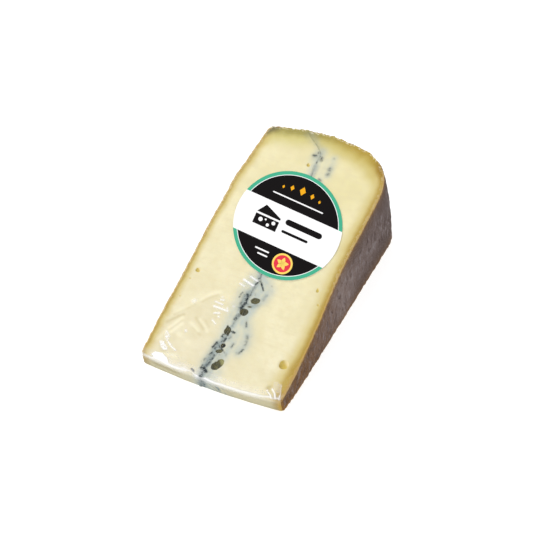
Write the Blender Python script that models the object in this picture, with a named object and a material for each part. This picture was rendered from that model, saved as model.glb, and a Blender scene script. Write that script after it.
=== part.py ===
"""Wedge of a layered washed-rind cheese that lies on one cut face, with a label on the other.

The wheel's axis runs along X, so X crosses the wheel from one flat rind to the other. The wedge's
tip is cut off at the front (-Y), and its heel, the wheel's rim, is at the back (+Y). Shapes are
worked out in wheel coordinates: x across the wheel, r out from its axis, and angle up from the
lower cut face. Metres, +Z up, origin under the middle of the wedge.
"""

import math

import bmesh
import bpy
from mathutils import Matrix, Vector, noise

MM = 0.001

# The wheel and the cuts
WEDGE_ANGLE = math.radians(17.9)
HEEL_RADIUS = 166.4 * MM
HEEL_FALL = 5.0 * MM
HEEL_CROWN_X = 2 * MM
HEEL_HALF_WIDTH = 31 * MM
TIP_RADIUS = 28.4 * MM
TIP_BULGE = 1.9 * MM
TIP_HALF_WIDTH = 35 * MM

# The two flat rinds. The left one turns in towards the rim, with a shallow dip and a bulge on the
# way. The right one waves a little along the upper cut face, and spreads towards the lower one.
LEFT_X = -36.7 * MM
LEFT_TAPER = 1.9 * MM
LEFT_TURN_IN = 5.3 * MM
LEFT_TURN_POWER = 3
TAPER_START = 50 * MM
TAPER_LENGTH = 110 * MM
LEFT_DIP = 0.6 * MM
LEFT_DIP_AT = 78 * MM
LEFT_DIP_LENGTH = 20 * MM
LEFT_BULGE = 0.65 * MM
LEFT_BULGE_AT = 131 * MM
LEFT_BULGE_LENGTH = 9 * MM
RIGHT_X = 35.3 * MM
RIGHT_WAVE = 0.7 * MM
RIGHT_WAVE_LENGTH = 85 * MM
RIGHT_WAVE_CREST = 60 * MM
RIGHT_SPREAD = 1.4 * MM
RIGHT_SPREAD_LENGTH = 12 * MM

# How far each rounded corner reaches along its two sides: the right heel corner opens upwards
TIP_CORNER = 1.5 * MM
LEFT_HEEL_CORNER = 2.4 * MM
RIGHT_HEEL_CORNER = 12.5 * MM
RIGHT_CORNER_OPENS = 4 * MM

# The ash layer, which wanders about the middle of the wheel
ASH_HALF = 0.55 * MM
ASH_HALF_CHANGE = 0.25 * MM
ASH_MIDDLE_X = 1.0 * MM
ASH_TIP_BEND = 6.5 * MM
ASH_TIP_BEND_LENGTH = 30 * MM
ASH_RIM_BEND = 13 * MM
ASH_RIM_BEND_AT = 160.5 * MM
ASH_RIM_BEND_LENGTH = 2.4 * MM
ASH_WAVE = 0.45 * MM
ASH_WAVE_LENGTH = 19 * MM
ASH_WAVE_SHIFT = 2
ASH_DRIFT = 2.2 * MM
ASH_PATCH = 8 * MM
GAP = 0.3 * MM

# Unevenness of the rind and of the cut tip
RIND_RELIEF = 0.45 * MM
RIND_LUMP = 9 * MM
CRAG_RELIEF = 0.35 * MM
CRAG_SIZE = 3 * MM
TIP_RELIEF = 0.15 * MM

# How finely the sides are divided, how many rounds find where the ash meets the heel, and the
# least angle of an edge that isn't shaded smooth
ROWS = 12
TIP_STEPS = 9
TIP_CORNER_STEPS = 4
SIDE_STEPS = 34
HEEL_CORNER_STEPS = 7
HEEL_STEPS = 16
ASH_STEPS = 54
HEEL_ROUNDS = 20
SHARP_EDGE = math.radians(35)

# The label: an oval, turned in the plane of the upper cut face
LABEL_X = 1.0 * MM
LABEL_R = 114.6 * MM
LABEL_LONG_RADIUS = 29.4 * MM
LABEL_SHORT_RADIUS = 25.7 * MM
LABEL_THICK = 0.35 * MM
LABEL_TURN = math.radians(-52.8)
LABEL_SIDES = 72

# Eyes on the upper cut face: x, r, half width, half length, turn in degrees
UPPER_EYES = (
    (28.7 * MM, 48.0 * MM, 2.7 * MM, 2.5 * MM, 0),
    (-29.3 * MM, 78.5 * MM, 1.35 * MM, 1.35 * MM, 0),
    (28.1 * MM, 88.4 * MM, 0.8 * MM, 1.7 * MM, 0),
    (-2.9 * MM, 147.9 * MM, 0.85 * MM, 1.0 * MM, 0),
    (28.0 * MM, 34.2 * MM, 1.9 * MM, 1.4 * MM, 10),
)
# Mould pits along the ash line
ASH_PITS = (
    (3.1 * MM, 73.0 * MM, 2.6 * MM, 1.8 * MM, -12),
    (0.3 * MM, 65.8 * MM, 2.2 * MM, 1.9 * MM, 10),
    (-2.7 * MM, 54.5 * MM, 1.9 * MM, 2.2 * MM, 15),
    (-1.6 * MM, 46.8 * MM, 1.1 * MM, 1.3 * MM, -20),
    (-2.4 * MM, 43.3 * MM, 1.6 * MM, 1.1 * MM, 0),
    (-0.5 * MM, 36.6 * MM, 2.1 * MM, 3.1 * MM, -35),
)
# Eyes on the lower cut face, which the wedge lies on
LOWER_EYES = (
    (-18.0 * MM, 62.0 * MM, 2.2 * MM, 2.0 * MM, 0),
    (21.0 * MM, 101.0 * MM, 1.5 * MM, 1.7 * MM, 0),
    (-24.0 * MM, 128.0 * MM, 1.2 * MM, 1.2 * MM, 0),
)
EYE_SUNK = 0.35
EYE_SEGMENTS = 14
EYE_RINGS = 8


def clear_scene():
    for thing in list(bpy.data.objects):
        bpy.data.objects.remove(thing, do_unlink=True)


def paint(name, colour, roughness):
    material = bpy.data.materials.new(name)
    material.use_nodes = True
    shader = material.node_tree.nodes["Principled BSDF"]
    shader.inputs["Base Color"].default_value = (*colour, 1)
    shader.inputs["Roughness"].default_value = roughness
    return material


def in_space(x, r, angle):
    """The point at these wheel coordinates."""
    return Vector((x, r * math.cos(angle), r * math.sin(angle)))


def share(index, count):
    return index / (count - 1)


def tip_r(x, angle):
    """The tip's cut, which is flat from the lower cut face to the upper one."""
    middle = WEDGE_ANGLE / 2
    flat = math.cos(middle) / math.cos(angle - middle)
    return (TIP_RADIUS + TIP_BULGE * (x / TIP_HALF_WIDTH) ** 2) * flat


def heel_r(x):
    """The wheel's rim, which bulges about its middle."""
    return HEEL_RADIUS - HEEL_FALL * ((x - HEEL_CROWN_X) / HEEL_HALF_WIDTH) ** 2


def left_x(r, _angle):
    """The left flat rind, which is the same at every angle."""
    along = max(0.0, (r - TAPER_START) / TAPER_LENGTH)
    dip = LEFT_DIP * math.exp(-(((r - LEFT_DIP_AT) / LEFT_DIP_LENGTH) ** 2))
    bulge = LEFT_BULGE * math.exp(-(((r - LEFT_BULGE_AT) / LEFT_BULGE_LENGTH) ** 2))
    return LEFT_X + LEFT_TAPER * along + LEFT_TURN_IN * along**LEFT_TURN_POWER + dip - bulge


def right_x(r, angle):
    """The right flat rind, which leans out towards the lower cut face."""
    height = angle / WEDGE_ANGLE
    turn = 2 * math.pi * (r - RIGHT_WAVE_CREST) / RIGHT_WAVE_LENGTH
    wave = RIGHT_WAVE * math.cos(turn) * height
    spread = RIGHT_SPREAD * (1 - math.exp((TIP_RADIUS - r) / RIGHT_SPREAD_LENGTH))
    return RIGHT_X + wave + spread * (1 - height)


def ash_x(r, angle):
    """Middle of the ash layer, which bends to the left at the tip and again at the rim."""
    tip_bend = ASH_TIP_BEND * math.exp((TIP_RADIUS - r) / ASH_TIP_BEND_LENGTH)
    rim_bend = ASH_RIM_BEND / (1 + math.exp((ASH_RIM_BEND_AT - r) / ASH_RIM_BEND_LENGTH))
    depth = 1 - angle / WEDGE_ANGLE
    wave = ASH_WAVE * math.sin(2 * math.pi * r / ASH_WAVE_LENGTH + ASH_WAVE_SHIFT * depth)
    drift = ASH_DRIFT * depth * math.sin(math.pi * (r - TIP_RADIUS) / HEEL_RADIUS)
    return ASH_MIDDLE_X - tip_bend - rim_bend * (1 - depth / 2) + wave - drift


def ash_half(r, angle):
    """Half the ash layer's thickness, which changes from place to place."""
    where = in_space(0, r, angle) / ASH_PATCH
    return ASH_HALF + ASH_HALF_CHANGE * noise.noise(where)


def heel_meets(offset, angle):
    """Where the heel meets the ash line moved sideways by offset, as (x, r)."""
    r = HEEL_RADIUS
    for _ in range(HEEL_ROUNDS):
        x = ash_x(r, angle) + offset
        r = heel_r(x)
    return x, r


def tip_meets(offset, angle):
    """Where the cut tip meets the ash line moved sideways by offset, as (x, r)."""
    x = ash_x(TIP_RADIUS, angle) + offset
    return x, tip_r(x, angle)


def corner_curve(before, corner, after, steps):
    """Inner points of a quadratic curve from before to after that bends at the corner."""
    points = []
    for i in range(1, steps):
        t = i / steps
        points.append(
            tuple(
                (1 - t) ** 2 * a + 2 * t * (1 - t) * b + t**2 * c
                for a, b, c in zip(before, corner, after)
            )
        )
    return points


def paste_outline(side, angle):
    """Outline of one half at one angle, as (x, r, kind), from the ash line round the outside.

    side is -1 for the left half and 1 for the right one. kind is tip, rind or ash.
    """
    side_at = left_x if side < 0 else right_x
    opened = RIGHT_HEEL_CORNER + RIGHT_CORNER_OPENS * angle / WEDGE_ANGLE
    heel_corner = LEFT_HEEL_CORNER if side < 0 else opened

    outer = side_at(TIP_RADIUS, angle)
    tip_corner = (outer, tip_r(outer, angle))
    rim = side_at(HEEL_RADIUS - HEEL_FALL, angle)
    rim_corner = (rim, heel_r(rim))

    inner_tip = tip_meets(side * (ash_half(TIP_RADIUS, angle) + GAP), angle)
    inner_heel = heel_meets(side * (ash_half(HEEL_RADIUS, angle) + GAP), angle)

    def on_tip(x):
        return x, tip_r(x, angle)

    def on_side(r):
        return side_at(r, angle), r

    def on_heel(x):
        return x, heel_r(x)

    tip_end = tip_corner[0] - side * TIP_CORNER
    side_start = tip_corner[1] + TIP_CORNER
    side_end = rim_corner[1] - heel_corner
    heel_start = rim_corner[0] - side * heel_corner

    points = []
    for i in range(TIP_STEPS):
        x = inner_tip[0] + (tip_end - inner_tip[0]) * share(i, TIP_STEPS)
        points.append((*on_tip(x), "tip"))
    for x, r in corner_curve(on_tip(tip_end), tip_corner, on_side(side_start), TIP_CORNER_STEPS):
        points.append((x, r, "rind"))
    for i in range(SIDE_STEPS):
        r = side_start + (side_end - side_start) * share(i, SIDE_STEPS)
        points.append((*on_side(r), "rind"))
    for x, r in corner_curve(on_side(side_end), rim_corner, on_heel(heel_start), HEEL_CORNER_STEPS):
        points.append((x, r, "rind"))
    for i in range(HEEL_STEPS):
        x = heel_start + (inner_heel[0] - heel_start) * share(i, HEEL_STEPS)
        points.append((*on_heel(x), "rind"))
    for i in range(1, ASH_STEPS - 1):
        r = inner_heel[1] + (inner_tip[1] - inner_heel[1]) * share(i, ASH_STEPS)
        x = ash_x(r, angle) + side * (ash_half(r, angle) + GAP)
        points.append((x, r, "ash"))
    return points


def ash_outline(angle):
    """Outline of the ash layer at one angle: up its left face and down its right one."""
    points = []
    for side in (-1, 1):
        edge = side * ash_half(TIP_RADIUS, angle)
        tip = tip_meets(edge, angle)
        heel = heel_meets(side * ash_half(HEEL_RADIUS, angle), angle)
        low = tip[1] + GAP / 2
        high = heel[1] - GAP
        face = []
        for i in range(ASH_STEPS):
            r = low + (high - low) * share(i, ASH_STEPS)
            face.append((ash_x(r, angle) + side * ash_half(r, angle), r, "ash"))
        points += face if side < 0 else face[::-1]
    return points


def relief(x, r, angle, kind):
    """How far the surface stands out at a point of the outline."""
    where = in_space(x, r, angle)
    if kind == "rind":
        lumps = RIND_RELIEF * noise.noise(where / RIND_LUMP)
        return lumps + CRAG_RELIEF * noise.noise(where / CRAG_SIZE)
    if kind == "tip":
        return TIP_RELIEF * noise.noise(where / RIND_LUMP)
    return 0.0


def uneven(outline, angle):
    """The outline with its relief, each point moved along the outward normal."""
    moved = []
    count = len(outline)
    area = sum(
        outline[i][0] * outline[(i + 1) % count][1] - outline[(i + 1) % count][0] * outline[i][1]
        for i in range(count)
    )
    outward = 1 if area > 0 else -1
    for i, (x, r, kind) in enumerate(outline):
        before, after = outline[i - 1], outline[(i + 1) % count]
        along = Vector((after[0] - before[0], after[1] - before[1])).normalized()
        out = relief(x, r, angle, kind) * outward
        moved.append((x + along.y * out, r - along.x * out))
    return moved


def swept(name, outline_at, material):
    """A solid through the outlines at each angle, from the lower cut face to the upper one."""
    mesh = bmesh.new()
    rings = []
    for row in range(ROWS + 1):
        angle = WEDGE_ANGLE * row / ROWS
        outline = uneven(outline_at(angle), angle)
        rings.append([mesh.verts.new(in_space(x, r, angle)) for x, r in outline])
    mesh.faces.new(rings[0])
    mesh.faces.new(rings[-1][::-1])
    for low, high in zip(rings, rings[1:]):
        for i in range(len(low)):
            j = (i + 1) % len(low)
            mesh.faces.new((low[i], low[j], high[j], high[i]))
    bmesh.ops.recalc_face_normals(mesh, faces=mesh.faces)
    return finish(name, mesh, material)


def finish(name, mesh, material):
    """An object made from a bmesh, shaded smooth between its sharp edges."""
    data = bpy.data.meshes.new(name)
    mesh.to_mesh(data)
    mesh.free()
    data.materials.append(material)
    data.shade_smooth()
    data.set_sharp_from_angle(angle=SHARP_EDGE)
    thing = bpy.data.objects.new(name, data)
    bpy.context.scene.collection.objects.link(thing)
    return thing


def on_cut(x, r, angle, lift):
    """The place at x, r on a cut face, lifted off it, with local Z along the face's normal."""
    return Matrix.Rotation(angle, 4, "X") @ Matrix.Translation((x, r, lift))


def eye_cutters(name, eyes, angle, into):
    """Ellipsoids that hollow the eyes of one cut face, in a collection of helpers.

    into is -1 where the cheese lies below the face, and 1 where it lies above.
    """
    cutters = bpy.data.collections.new(name)
    bpy.context.scene.collection.children.link(cutters)
    for i, (x, r, half_width, half_length, turn) in enumerate(eyes):
        depth = min(half_width, half_length)
        size = Matrix.Diagonal((half_width, half_length, depth, 1))
        mesh = bmesh.new()
        bmesh.ops.create_uvsphere(mesh, u_segments=EYE_SEGMENTS, v_segments=EYE_RINGS, radius=1)
        mesh.transform(Matrix.Rotation(math.radians(turn), 4, "Z") @ size)
        data = bpy.data.meshes.new(f"{name}_{i}")
        mesh.to_mesh(data)
        mesh.free()
        cutter = bpy.data.objects.new(data.name, data)
        cutter.matrix_world = on_cut(x, r, angle, into * EYE_SUNK * depth)
        cutter.hide_render = True
        cutter.display_type = "WIRE"
        cutters.objects.link(cutter)
    return cutters


def cut_eyes(thing, cutters):
    modifier = thing.modifiers.new(cutters.name, "BOOLEAN")
    modifier.operation = "DIFFERENCE"
    modifier.operand_type = "COLLECTION"
    modifier.collection = cutters
    modifier.solver = "EXACT"


def make_label(material):
    """A thin oval disc that lies just off the upper cut face."""
    mesh = bmesh.new()
    rim = []
    for i in range(LABEL_SIDES):
        turn = 2 * math.pi * i / LABEL_SIDES
        x = LABEL_LONG_RADIUS * math.cos(turn)
        y = LABEL_SHORT_RADIUS * math.sin(turn)
        rim.append(mesh.verts.new((x, y, 0)))
    face = mesh.faces.new(rim)
    raised = bmesh.ops.extrude_face_region(mesh, geom=[face])
    top = [v for v in raised["geom"] if isinstance(v, bmesh.types.BMVert)]
    bmesh.ops.translate(mesh, verts=top, vec=(0, 0, LABEL_THICK))
    bmesh.ops.recalc_face_normals(mesh, faces=mesh.faces)
    label = finish("label", mesh, material)
    turn = Matrix.Rotation(LABEL_TURN, 4, "Z")
    label.matrix_world = on_cut(LABEL_X, LABEL_R, WEDGE_ANGLE, GAP) @ turn
    return label


def stand_on_origin(things, helpers):
    """Hangs all on one empty, and moves it so that the origin is under the middle."""
    bpy.context.view_layer.update()
    graph = bpy.context.evaluated_depsgraph_get()
    corners = []
    for thing in things:
        shape = thing.evaluated_get(graph)
        corners += [shape.matrix_world @ v.co for v in shape.data.vertices]
    low = Vector(min(c[i] for c in corners) for i in range(3))
    high = Vector(max(c[i] for c in corners) for i in range(3))
    wheel = bpy.data.objects.new("wheel_axis", None)
    bpy.context.scene.collection.objects.link(wheel)
    for thing in [*things, *helpers]:
        thing.parent = wheel
    wheel.location = (-(low.x + high.x) / 2, -(low.y + high.y) / 2, -low.z)
    bpy.context.view_layer.update()


def main():
    clear_scene()
    paste = paint("paste", (0.86, 0.77, 0.50), 0.5)
    ash = paint("ash", (0.09, 0.12, 0.15), 0.8)
    paper = paint("paper", (0.9, 0.9, 0.9), 0.4)

    halves = [
        swept("paste_left", lambda angle: paste_outline(-1, angle), paste),
        swept("paste_right", lambda angle: paste_outline(1, angle), paste),
    ]
    layer = swept("ash_layer", ash_outline, ash)
    label = make_label(paper)

    upper = eye_cutters("upper_eyes", UPPER_EYES + ASH_PITS, WEDGE_ANGLE, -1)
    lower = eye_cutters("lower_eyes", LOWER_EYES, 0, 1)
    for thing in [*halves, layer]:
        cut_eyes(thing, upper)
        cut_eyes(thing, lower)
    stand_on_origin([*halves, layer, label], [*upper.objects, *lower.objects])


main()
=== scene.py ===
"""Looks of a wedge of layered cheese: paste with eyes and blue mould, rind, ash, label and film.

Shapes are worked out in wheel coordinates, in millimetres: x across the wheel, r out from its axis,
and angle up from the lower cut face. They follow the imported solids, with finer surfaces.
"""

import math

import bpy
import numpy as np
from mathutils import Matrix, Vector, kdtree, noise


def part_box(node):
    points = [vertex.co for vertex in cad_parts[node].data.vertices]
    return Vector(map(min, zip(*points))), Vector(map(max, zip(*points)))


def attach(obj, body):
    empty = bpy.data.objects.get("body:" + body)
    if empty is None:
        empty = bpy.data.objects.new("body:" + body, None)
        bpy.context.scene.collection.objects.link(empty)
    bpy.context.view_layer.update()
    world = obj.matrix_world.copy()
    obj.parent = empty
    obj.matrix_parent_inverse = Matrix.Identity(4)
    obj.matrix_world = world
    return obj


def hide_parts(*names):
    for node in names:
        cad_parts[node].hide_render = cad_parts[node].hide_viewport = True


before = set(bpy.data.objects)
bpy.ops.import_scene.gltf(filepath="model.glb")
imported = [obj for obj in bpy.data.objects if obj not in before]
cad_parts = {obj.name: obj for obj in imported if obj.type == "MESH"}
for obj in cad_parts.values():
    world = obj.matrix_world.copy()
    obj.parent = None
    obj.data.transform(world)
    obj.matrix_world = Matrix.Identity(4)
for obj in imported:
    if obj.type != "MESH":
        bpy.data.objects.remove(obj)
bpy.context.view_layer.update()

MM = 0.001

# The wheel and the cuts, as in the solids
WEDGE_ANGLE = math.radians(17.9)
HEEL_RADIUS = 166.4
HEEL_FALL = 5.0
HEEL_CROWN_X = 2.0
HEEL_HALF_WIDTH = 31.0
TIP_RADIUS = 28.4
TIP_BULGE = 1.9
TIP_HALF_WIDTH = 35.0
LEFT_X = -36.7
LEFT_TAPER = 1.9
LEFT_TURN_IN = 5.3
LEFT_TURN_POWER = 3
TAPER_START = 50.0
TAPER_LENGTH = 110.0
LEFT_DIP = 0.6
LEFT_DIP_AT = 78.0
LEFT_DIP_LENGTH = 20.0
LEFT_BULGE = 0.65
LEFT_BULGE_AT = 131.0
LEFT_BULGE_LENGTH = 9.0
RIGHT_X = 35.3
RIGHT_WAVE = 0.7
RIGHT_WAVE_LENGTH = 85.0
RIGHT_WAVE_CREST = 60.0
RIGHT_SPREAD = 1.4
RIGHT_SPREAD_LENGTH = 12.0
TIP_CORNER = 1.5
LEFT_HEEL_CORNER = 2.4
RIGHT_HEEL_CORNER = 12.5
RIGHT_CORNER_OPENS = 4.0
ASH_HALF = 0.55
ASH_HALF_CHANGE = 0.25
ASH_MIDDLE_X = 1.0
ASH_TIP_BEND = 6.5
ASH_TIP_BEND_LENGTH = 30.0
ASH_RIM_BEND = 13.0
ASH_RIM_BEND_AT = 160.5
ASH_RIM_BEND_LENGTH = 2.4
ASH_WAVE = 0.45
ASH_WAVE_LENGTH = 19.0
ASH_WAVE_SHIFT = 2
ASH_DRIFT = 2.2
ASH_PATCH = 8.0
LABEL_X = 1.0
LABEL_R = 114.6
LABEL_LONG_RADIUS = 29.4
LABEL_SHORT_RADIUS = 25.7
LABEL_THICK = 0.35
LABEL_LIFT = 0.3
LABEL_TURN = math.radians(-52.8)

# Relief of the rind and of the cut tip, with the size of its lumps
LUMP_RELIEF = 0.08
LUMP_SIZE = 9.0
CRAG_RELIEF = 0.2
CRAG_SIZE = 3.0
GRAIN_RELIEF = 0.16
GRAIN_SIZE = 1.1
TIP_RELIEF = 0.15
CRUMB_RELIEF = 0.2
RIM_CRUMB_RELIEF = 0.75
CRUMB_SIZE = 1.5
CRUMB_REACH = 1.0
# Space between each half and the ash, space over the floor, and radii of the upper and lower cut edges
SEAM = 0.02
FLOOR_CLEAR = 0.15
PASTE_EDGE = 1.0
LOWER_EDGE = 0.8
# Unevenness of the cut faces: height and size of its lumps
CUT_GRAIN = ((0.05, 2.2), (0.03, 0.9))
# Distances that stand for no edge near, and for no eye near
NO_EDGE = 99.0
NO_EYE = 9.0

# How far along an edge each corner's half reaches, as a share of that edge
TIP_CORNER_ON_TIP = 0.05
TIP_CORNER_ON_SIDE = 0.013
LEFT_CORNER_ON_SIDE = 0.015
LEFT_CORNER_ON_HEEL = 0.08
RIGHT_CORNER_ON_SIDE = 0.095
RIGHT_CORNER_ON_HEEL = 0.3

# Eyes on the upper cut face: x, r, half width, half length, turn in degrees
UPPER_EYES = (
    (28.8, 47.7, 2.4, 2.5, -10),
    (-29.3, 78.5, 1.25, 1.25, 0),
    (28.1, 88.4, 0.75, 1.6, 0),
    (-2.9, 147.9, 0.95, 1.05, 0),
    (28.2, 34.4, 2.2, 1.7, 10),
    (31.4, 81.3, 0.7, 0.6, 0),
    (-31.0, 73.3, 0.45, 0.4, 0),
    (-31.6, 63.2, 0.45, 0.5, 0),
)
# Mould pits along the ash line
ASH_PITS = (
    (3.0, 73.1, 2.3, 1.6, 18),
    (0.3, 65.9, 2.1, 1.8, 20),
    (-3.0, 54.4, 1.5, 2.1, 6),
    (-3.7, 56.2, 0.55, 1.0, 20),
    (-1.75, 46.65, 1.15, 1.25, 0),
    (-2.4, 43.4, 1.6, 1.0, 20),
    (-0.9, 35.6, 1.9, 1.9, 0),
    (0.5, 37.6, 1.7, 2.6, -14),
    (-0.4, 36.5, 1.8, 2.0, -20),
    (1.7, 69.3, 1.0, 0.45, 10),
)
# How light the pits are, by r
PIT_LIGHT = (
    (34, 0.4), (38, 0.7), (43.2, 0.85), (44.5, 0.8), (45.4, 0.0), (48, 0.0), (52, 0.45), (57, 0.45),
    (66, 0.45), (68, 0.5), (69, 1.0), (70, 1.0), (73, 0.8),
)
LOWER_EYES = (
    (-18.0, 62.0, 2.1, 1.9, 0),
    (21.0, 101.0, 1.4, 1.6, 0),
    (-24.0, 128.0, 1.1, 1.1, 0),
)
EYE_DEPTH = 0.45
PIT_DEPTH = 0.3
PIT_RAGGED = 0.16
EYE_RAGGED = 0.12
# Which side the light comes to in eyes and pits, in x and r
EYE_OPENS = (0.65, 0.75)
PIT_OPENS = (0.7, 0.7)
# A golden hollow by the right edge: corners anticlockwise
GOLD_PATCH = ((33.7, 34.5), (35.0, 36.9), (35.3, 43.5), (34.3, 44.2), (32.9, 41.5), (32.2, 37.8))

# How strong the ash line itself is, by r
ASH_STRONG = (
    (28, 0.5), (31, 0.5), (34, 0.25), (50, 0.3), (56, 0.1), (62, 0.15), (70, 0.2), (82, 0.2), (85, 0.7),
    (140, 0.38), (144, 0.36), (147.5, 0.16), (150, 0.14), (152.5, 0.25), (157, 0.28), (166, 0.25),
)
ASH_LINE_HALF = 0.4
# How much wider the layer is where the rind covers it
ASH_RIND_OVERLAP = 0.15
# Dark marks of mould: half width, strength, points (x, r)
MOULD_MARKS = (
    (0.5, 0.6, ((-5.2, 28.2), (-4.8, 30.6), (-4.2, 32.4))),
    (0.6, 0.7, ((-6.5, 32.8), (-5.5, 33.3))),
    (0.6, 1.0, ((-5.5, 33.0), (-4.3, 32.0), (-3.8, 31.8))),
    (0.45, 0.7, ((-4.5, 34.7), (-4.1, 36.6))),
    (0.38, 0.65, ((-4.1, 36.6), (-3.6, 38.9), (-3.6, 40.7))),
    (0.45, 0.35, ((-7.1, 36.8), (-6.9, 37.5))),
    (0.35, 0.2, ((-8.0, 36.2), (-7.9, 35.6))),
    (0.42, 0.6, ((-6.1, 40.3), (-5.2, 41.4))),
    (0.4, 0.4, ((-6.7, 34.2), (-6.8, 32.9))),
    (0.45, 0.7, ((-6.0, 44.4), (-5.6, 45.6), (-5.2, 47.1))),
    (0.35, 0.5, ((-4.7, 44.7), (-4.6, 44.2))),
    (0.38, 0.65, ((-2.7, 45.3), (-3.3, 46.1))),
    (0.4, 0.85, ((-2.1, 45.2), (-1.0, 44.2))),
    (0.42, 0.8, ((-2.3, 48.8), (-2.1, 50.4), (-2.0, 52.6))),
    (0.4, 0.7, ((-4.3, 50.8), (-3.9, 51.9))),
    (0.42, 0.7, ((-0.9, 54.7), (0.7, 54.5))),
    (0.4, 0.3, ((-0.9, 50.9), (-0.2, 51.7))),
    (0.42, 0.28, ((-1.8, 56.8), (-1.9, 59.2), (-2.2, 60.6))),
    (0.6, 0.6, ((-2.2, 61.0), (-1.8, 62.7), (-1.2, 64.0))),
    (0.55, 0.9, ((-1.9, 67.4), (-1.5, 68.4))),
    (0.55, 0.75, ((-1.3, 69.2), (-1.0, 71.0), (-1.1, 73.2))),
    (0.5, 0.7, ((-1.2, 73.2), (-1.9, 74.8))),
    (0.4, 0.55, ((-0.9, 73.6), (-0.5, 75.4))),
    (0.4, 0.5, ((-2.9, 69.1), (-3.2, 70.5))),
    (0.42, 0.42, ((-5.0, 72.3), (-5.0, 73.8), (-4.6, 75.1))),
    (0.32, 0.35, ((-0.5, 75.4), (-0.6, 77.5), (-0.6, 80.0))),
    (0.35, 0.8, ((-0.5, 80.9), (0.1, 82.5))),
    (0.5, 0.5, ((-0.3, 84.2), (1.4, 82.8))),
    (0.32, 0.85, ((1.9, 82.3), (2.6, 81.3), (4.1, 79.3))),
    (0.4, 0.3, ((1.4, 76.3), (1.6, 75.7))),
    (0.45, 0.25, ((6.8, 77.3), (6.4, 74.6))),
    (0.3, 0.35, ((7.0, 82.8), (7.2, 82.6))),
    (0.38, 0.5, ((3.5, 61.3), (4.4, 59.4))),
    (0.5, 0.42, ((6.8, 55.0), (7.6, 52.7), (7.7, 50.6))),
    (0.38, 0.4, ((7.3, 54.8), (7.5, 53.9))),
    (0.3, 0.15, ((7.5, 54.8), (9.0, 55.7))),
    (0.4, 0.6, ((6.7, 45.6), (7.5, 46.9), (7.9, 48.0))),
    (0.4, 0.2, ((5.5, 45.4), (6.5, 45.0))),
    (0.42, 0.38, ((2.1, 47.2), (2.6, 49.3))),
    (0.45, 0.3, ((0.1, 43.8), (1.2, 43.2), (1.8, 42.3))),
    (0.35, 0.9, ((-10.5, 30.7), (-9.3, 29.9))),
    (0.6, 0.5, ((-2.7, 153.5), (-1.7, 153.7))),
    (0.3, 0.45, ((-1.3, 155.7), (-1.0, 155.2))),
    (0.6, 0.48, ((1.3, 153.7), (1.8, 152.1))),
    (0.3, 0.5, ((0.2, 150.8), (0.4, 150.0))),
    (0.7, 0.33, ((7.4, 149.3), (7.8, 148.6))),
    (0.7, 0.33, ((8.0, 146.8), (7.7, 146.0))),
    (0.4, 0.3, ((7.1, 155.3), (7.3, 154.9))),
    (0.5, 0.4, ((5.0, 142.5), (6.0, 142.0))),
)
# Blue-grey clouds about the marks, and the pale haze round those: half width, strength, points
MOULD_CLOUDS = (
    (1.8, 0.95, ((-5.3, 28.6), (-5.2, 32.5), (-5.1, 38.0), (-4.6, 42.5), (-4.2, 46.5))),
    (1.2, 0.7, ((-3.3, 48.0), (-2.9, 51.5))),
    (0.9, 0.5, ((-0.6, 50.8), (-0.4, 54.3))),
    (1.5, 0.35, ((-2.3, 29.5), (-2.2, 34.0), (-1.4, 38.0), (-1.0, 42.0))),
    (0.8, 0.45, ((-1.9, 57.5), (-2.1, 60.0))),
    (1.2, 0.65, ((-1.8, 61.6), (-1.3, 63.6))),
    (1.8, 0.8, ((-2.0, 67.2), (-2.2, 70.0), (-2.5, 73.5), (-1.6, 76.0))),
    (1.5, 0.65, ((0.5, 69.8), (2.4, 70.2), (4.6, 71.6))),
    (0.9, 0.35, ((5.7, 74.3), (6.6, 77.2))),
    (1.1, 0.5, ((-0.8, 78.5), (0.2, 83.0), (-0.9, 87.0))),
    (0.9, 0.35, ((3.3, 61.8), (4.4, 59.2))),
    (1.0, 0.35, ((6.8, 55.0), (7.7, 51.0), (7.2, 46.6), (6.0, 45.2))),
    (0.8, 0.25, ((2.1, 47.2), (2.6, 49.3))),
    (1.4, 0.45, ((1.2, 142.0), (0.9, 148.0))),
    (0.8, 0.35, ((0.4, 148.0), (0.5, 152.0))),
    (1.6, 0.45, ((-2.0, 153.4), (1.5, 153.4))),
    (2.2, 0.28, ((-0.8, 157.0), (-3.5, 159.5), (-7.0, 161.5), (-9.5, 163.0))),
    (1.3, 0.4, ((-1.7, 155.6), (0.3, 155.2))),
    (1.6, 0.4, ((8.0, 146.3), (7.7, 149.3))),
    (0.8, 0.35, ((5.0, 142.4), (6.0, 142.0))),
)
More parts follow.
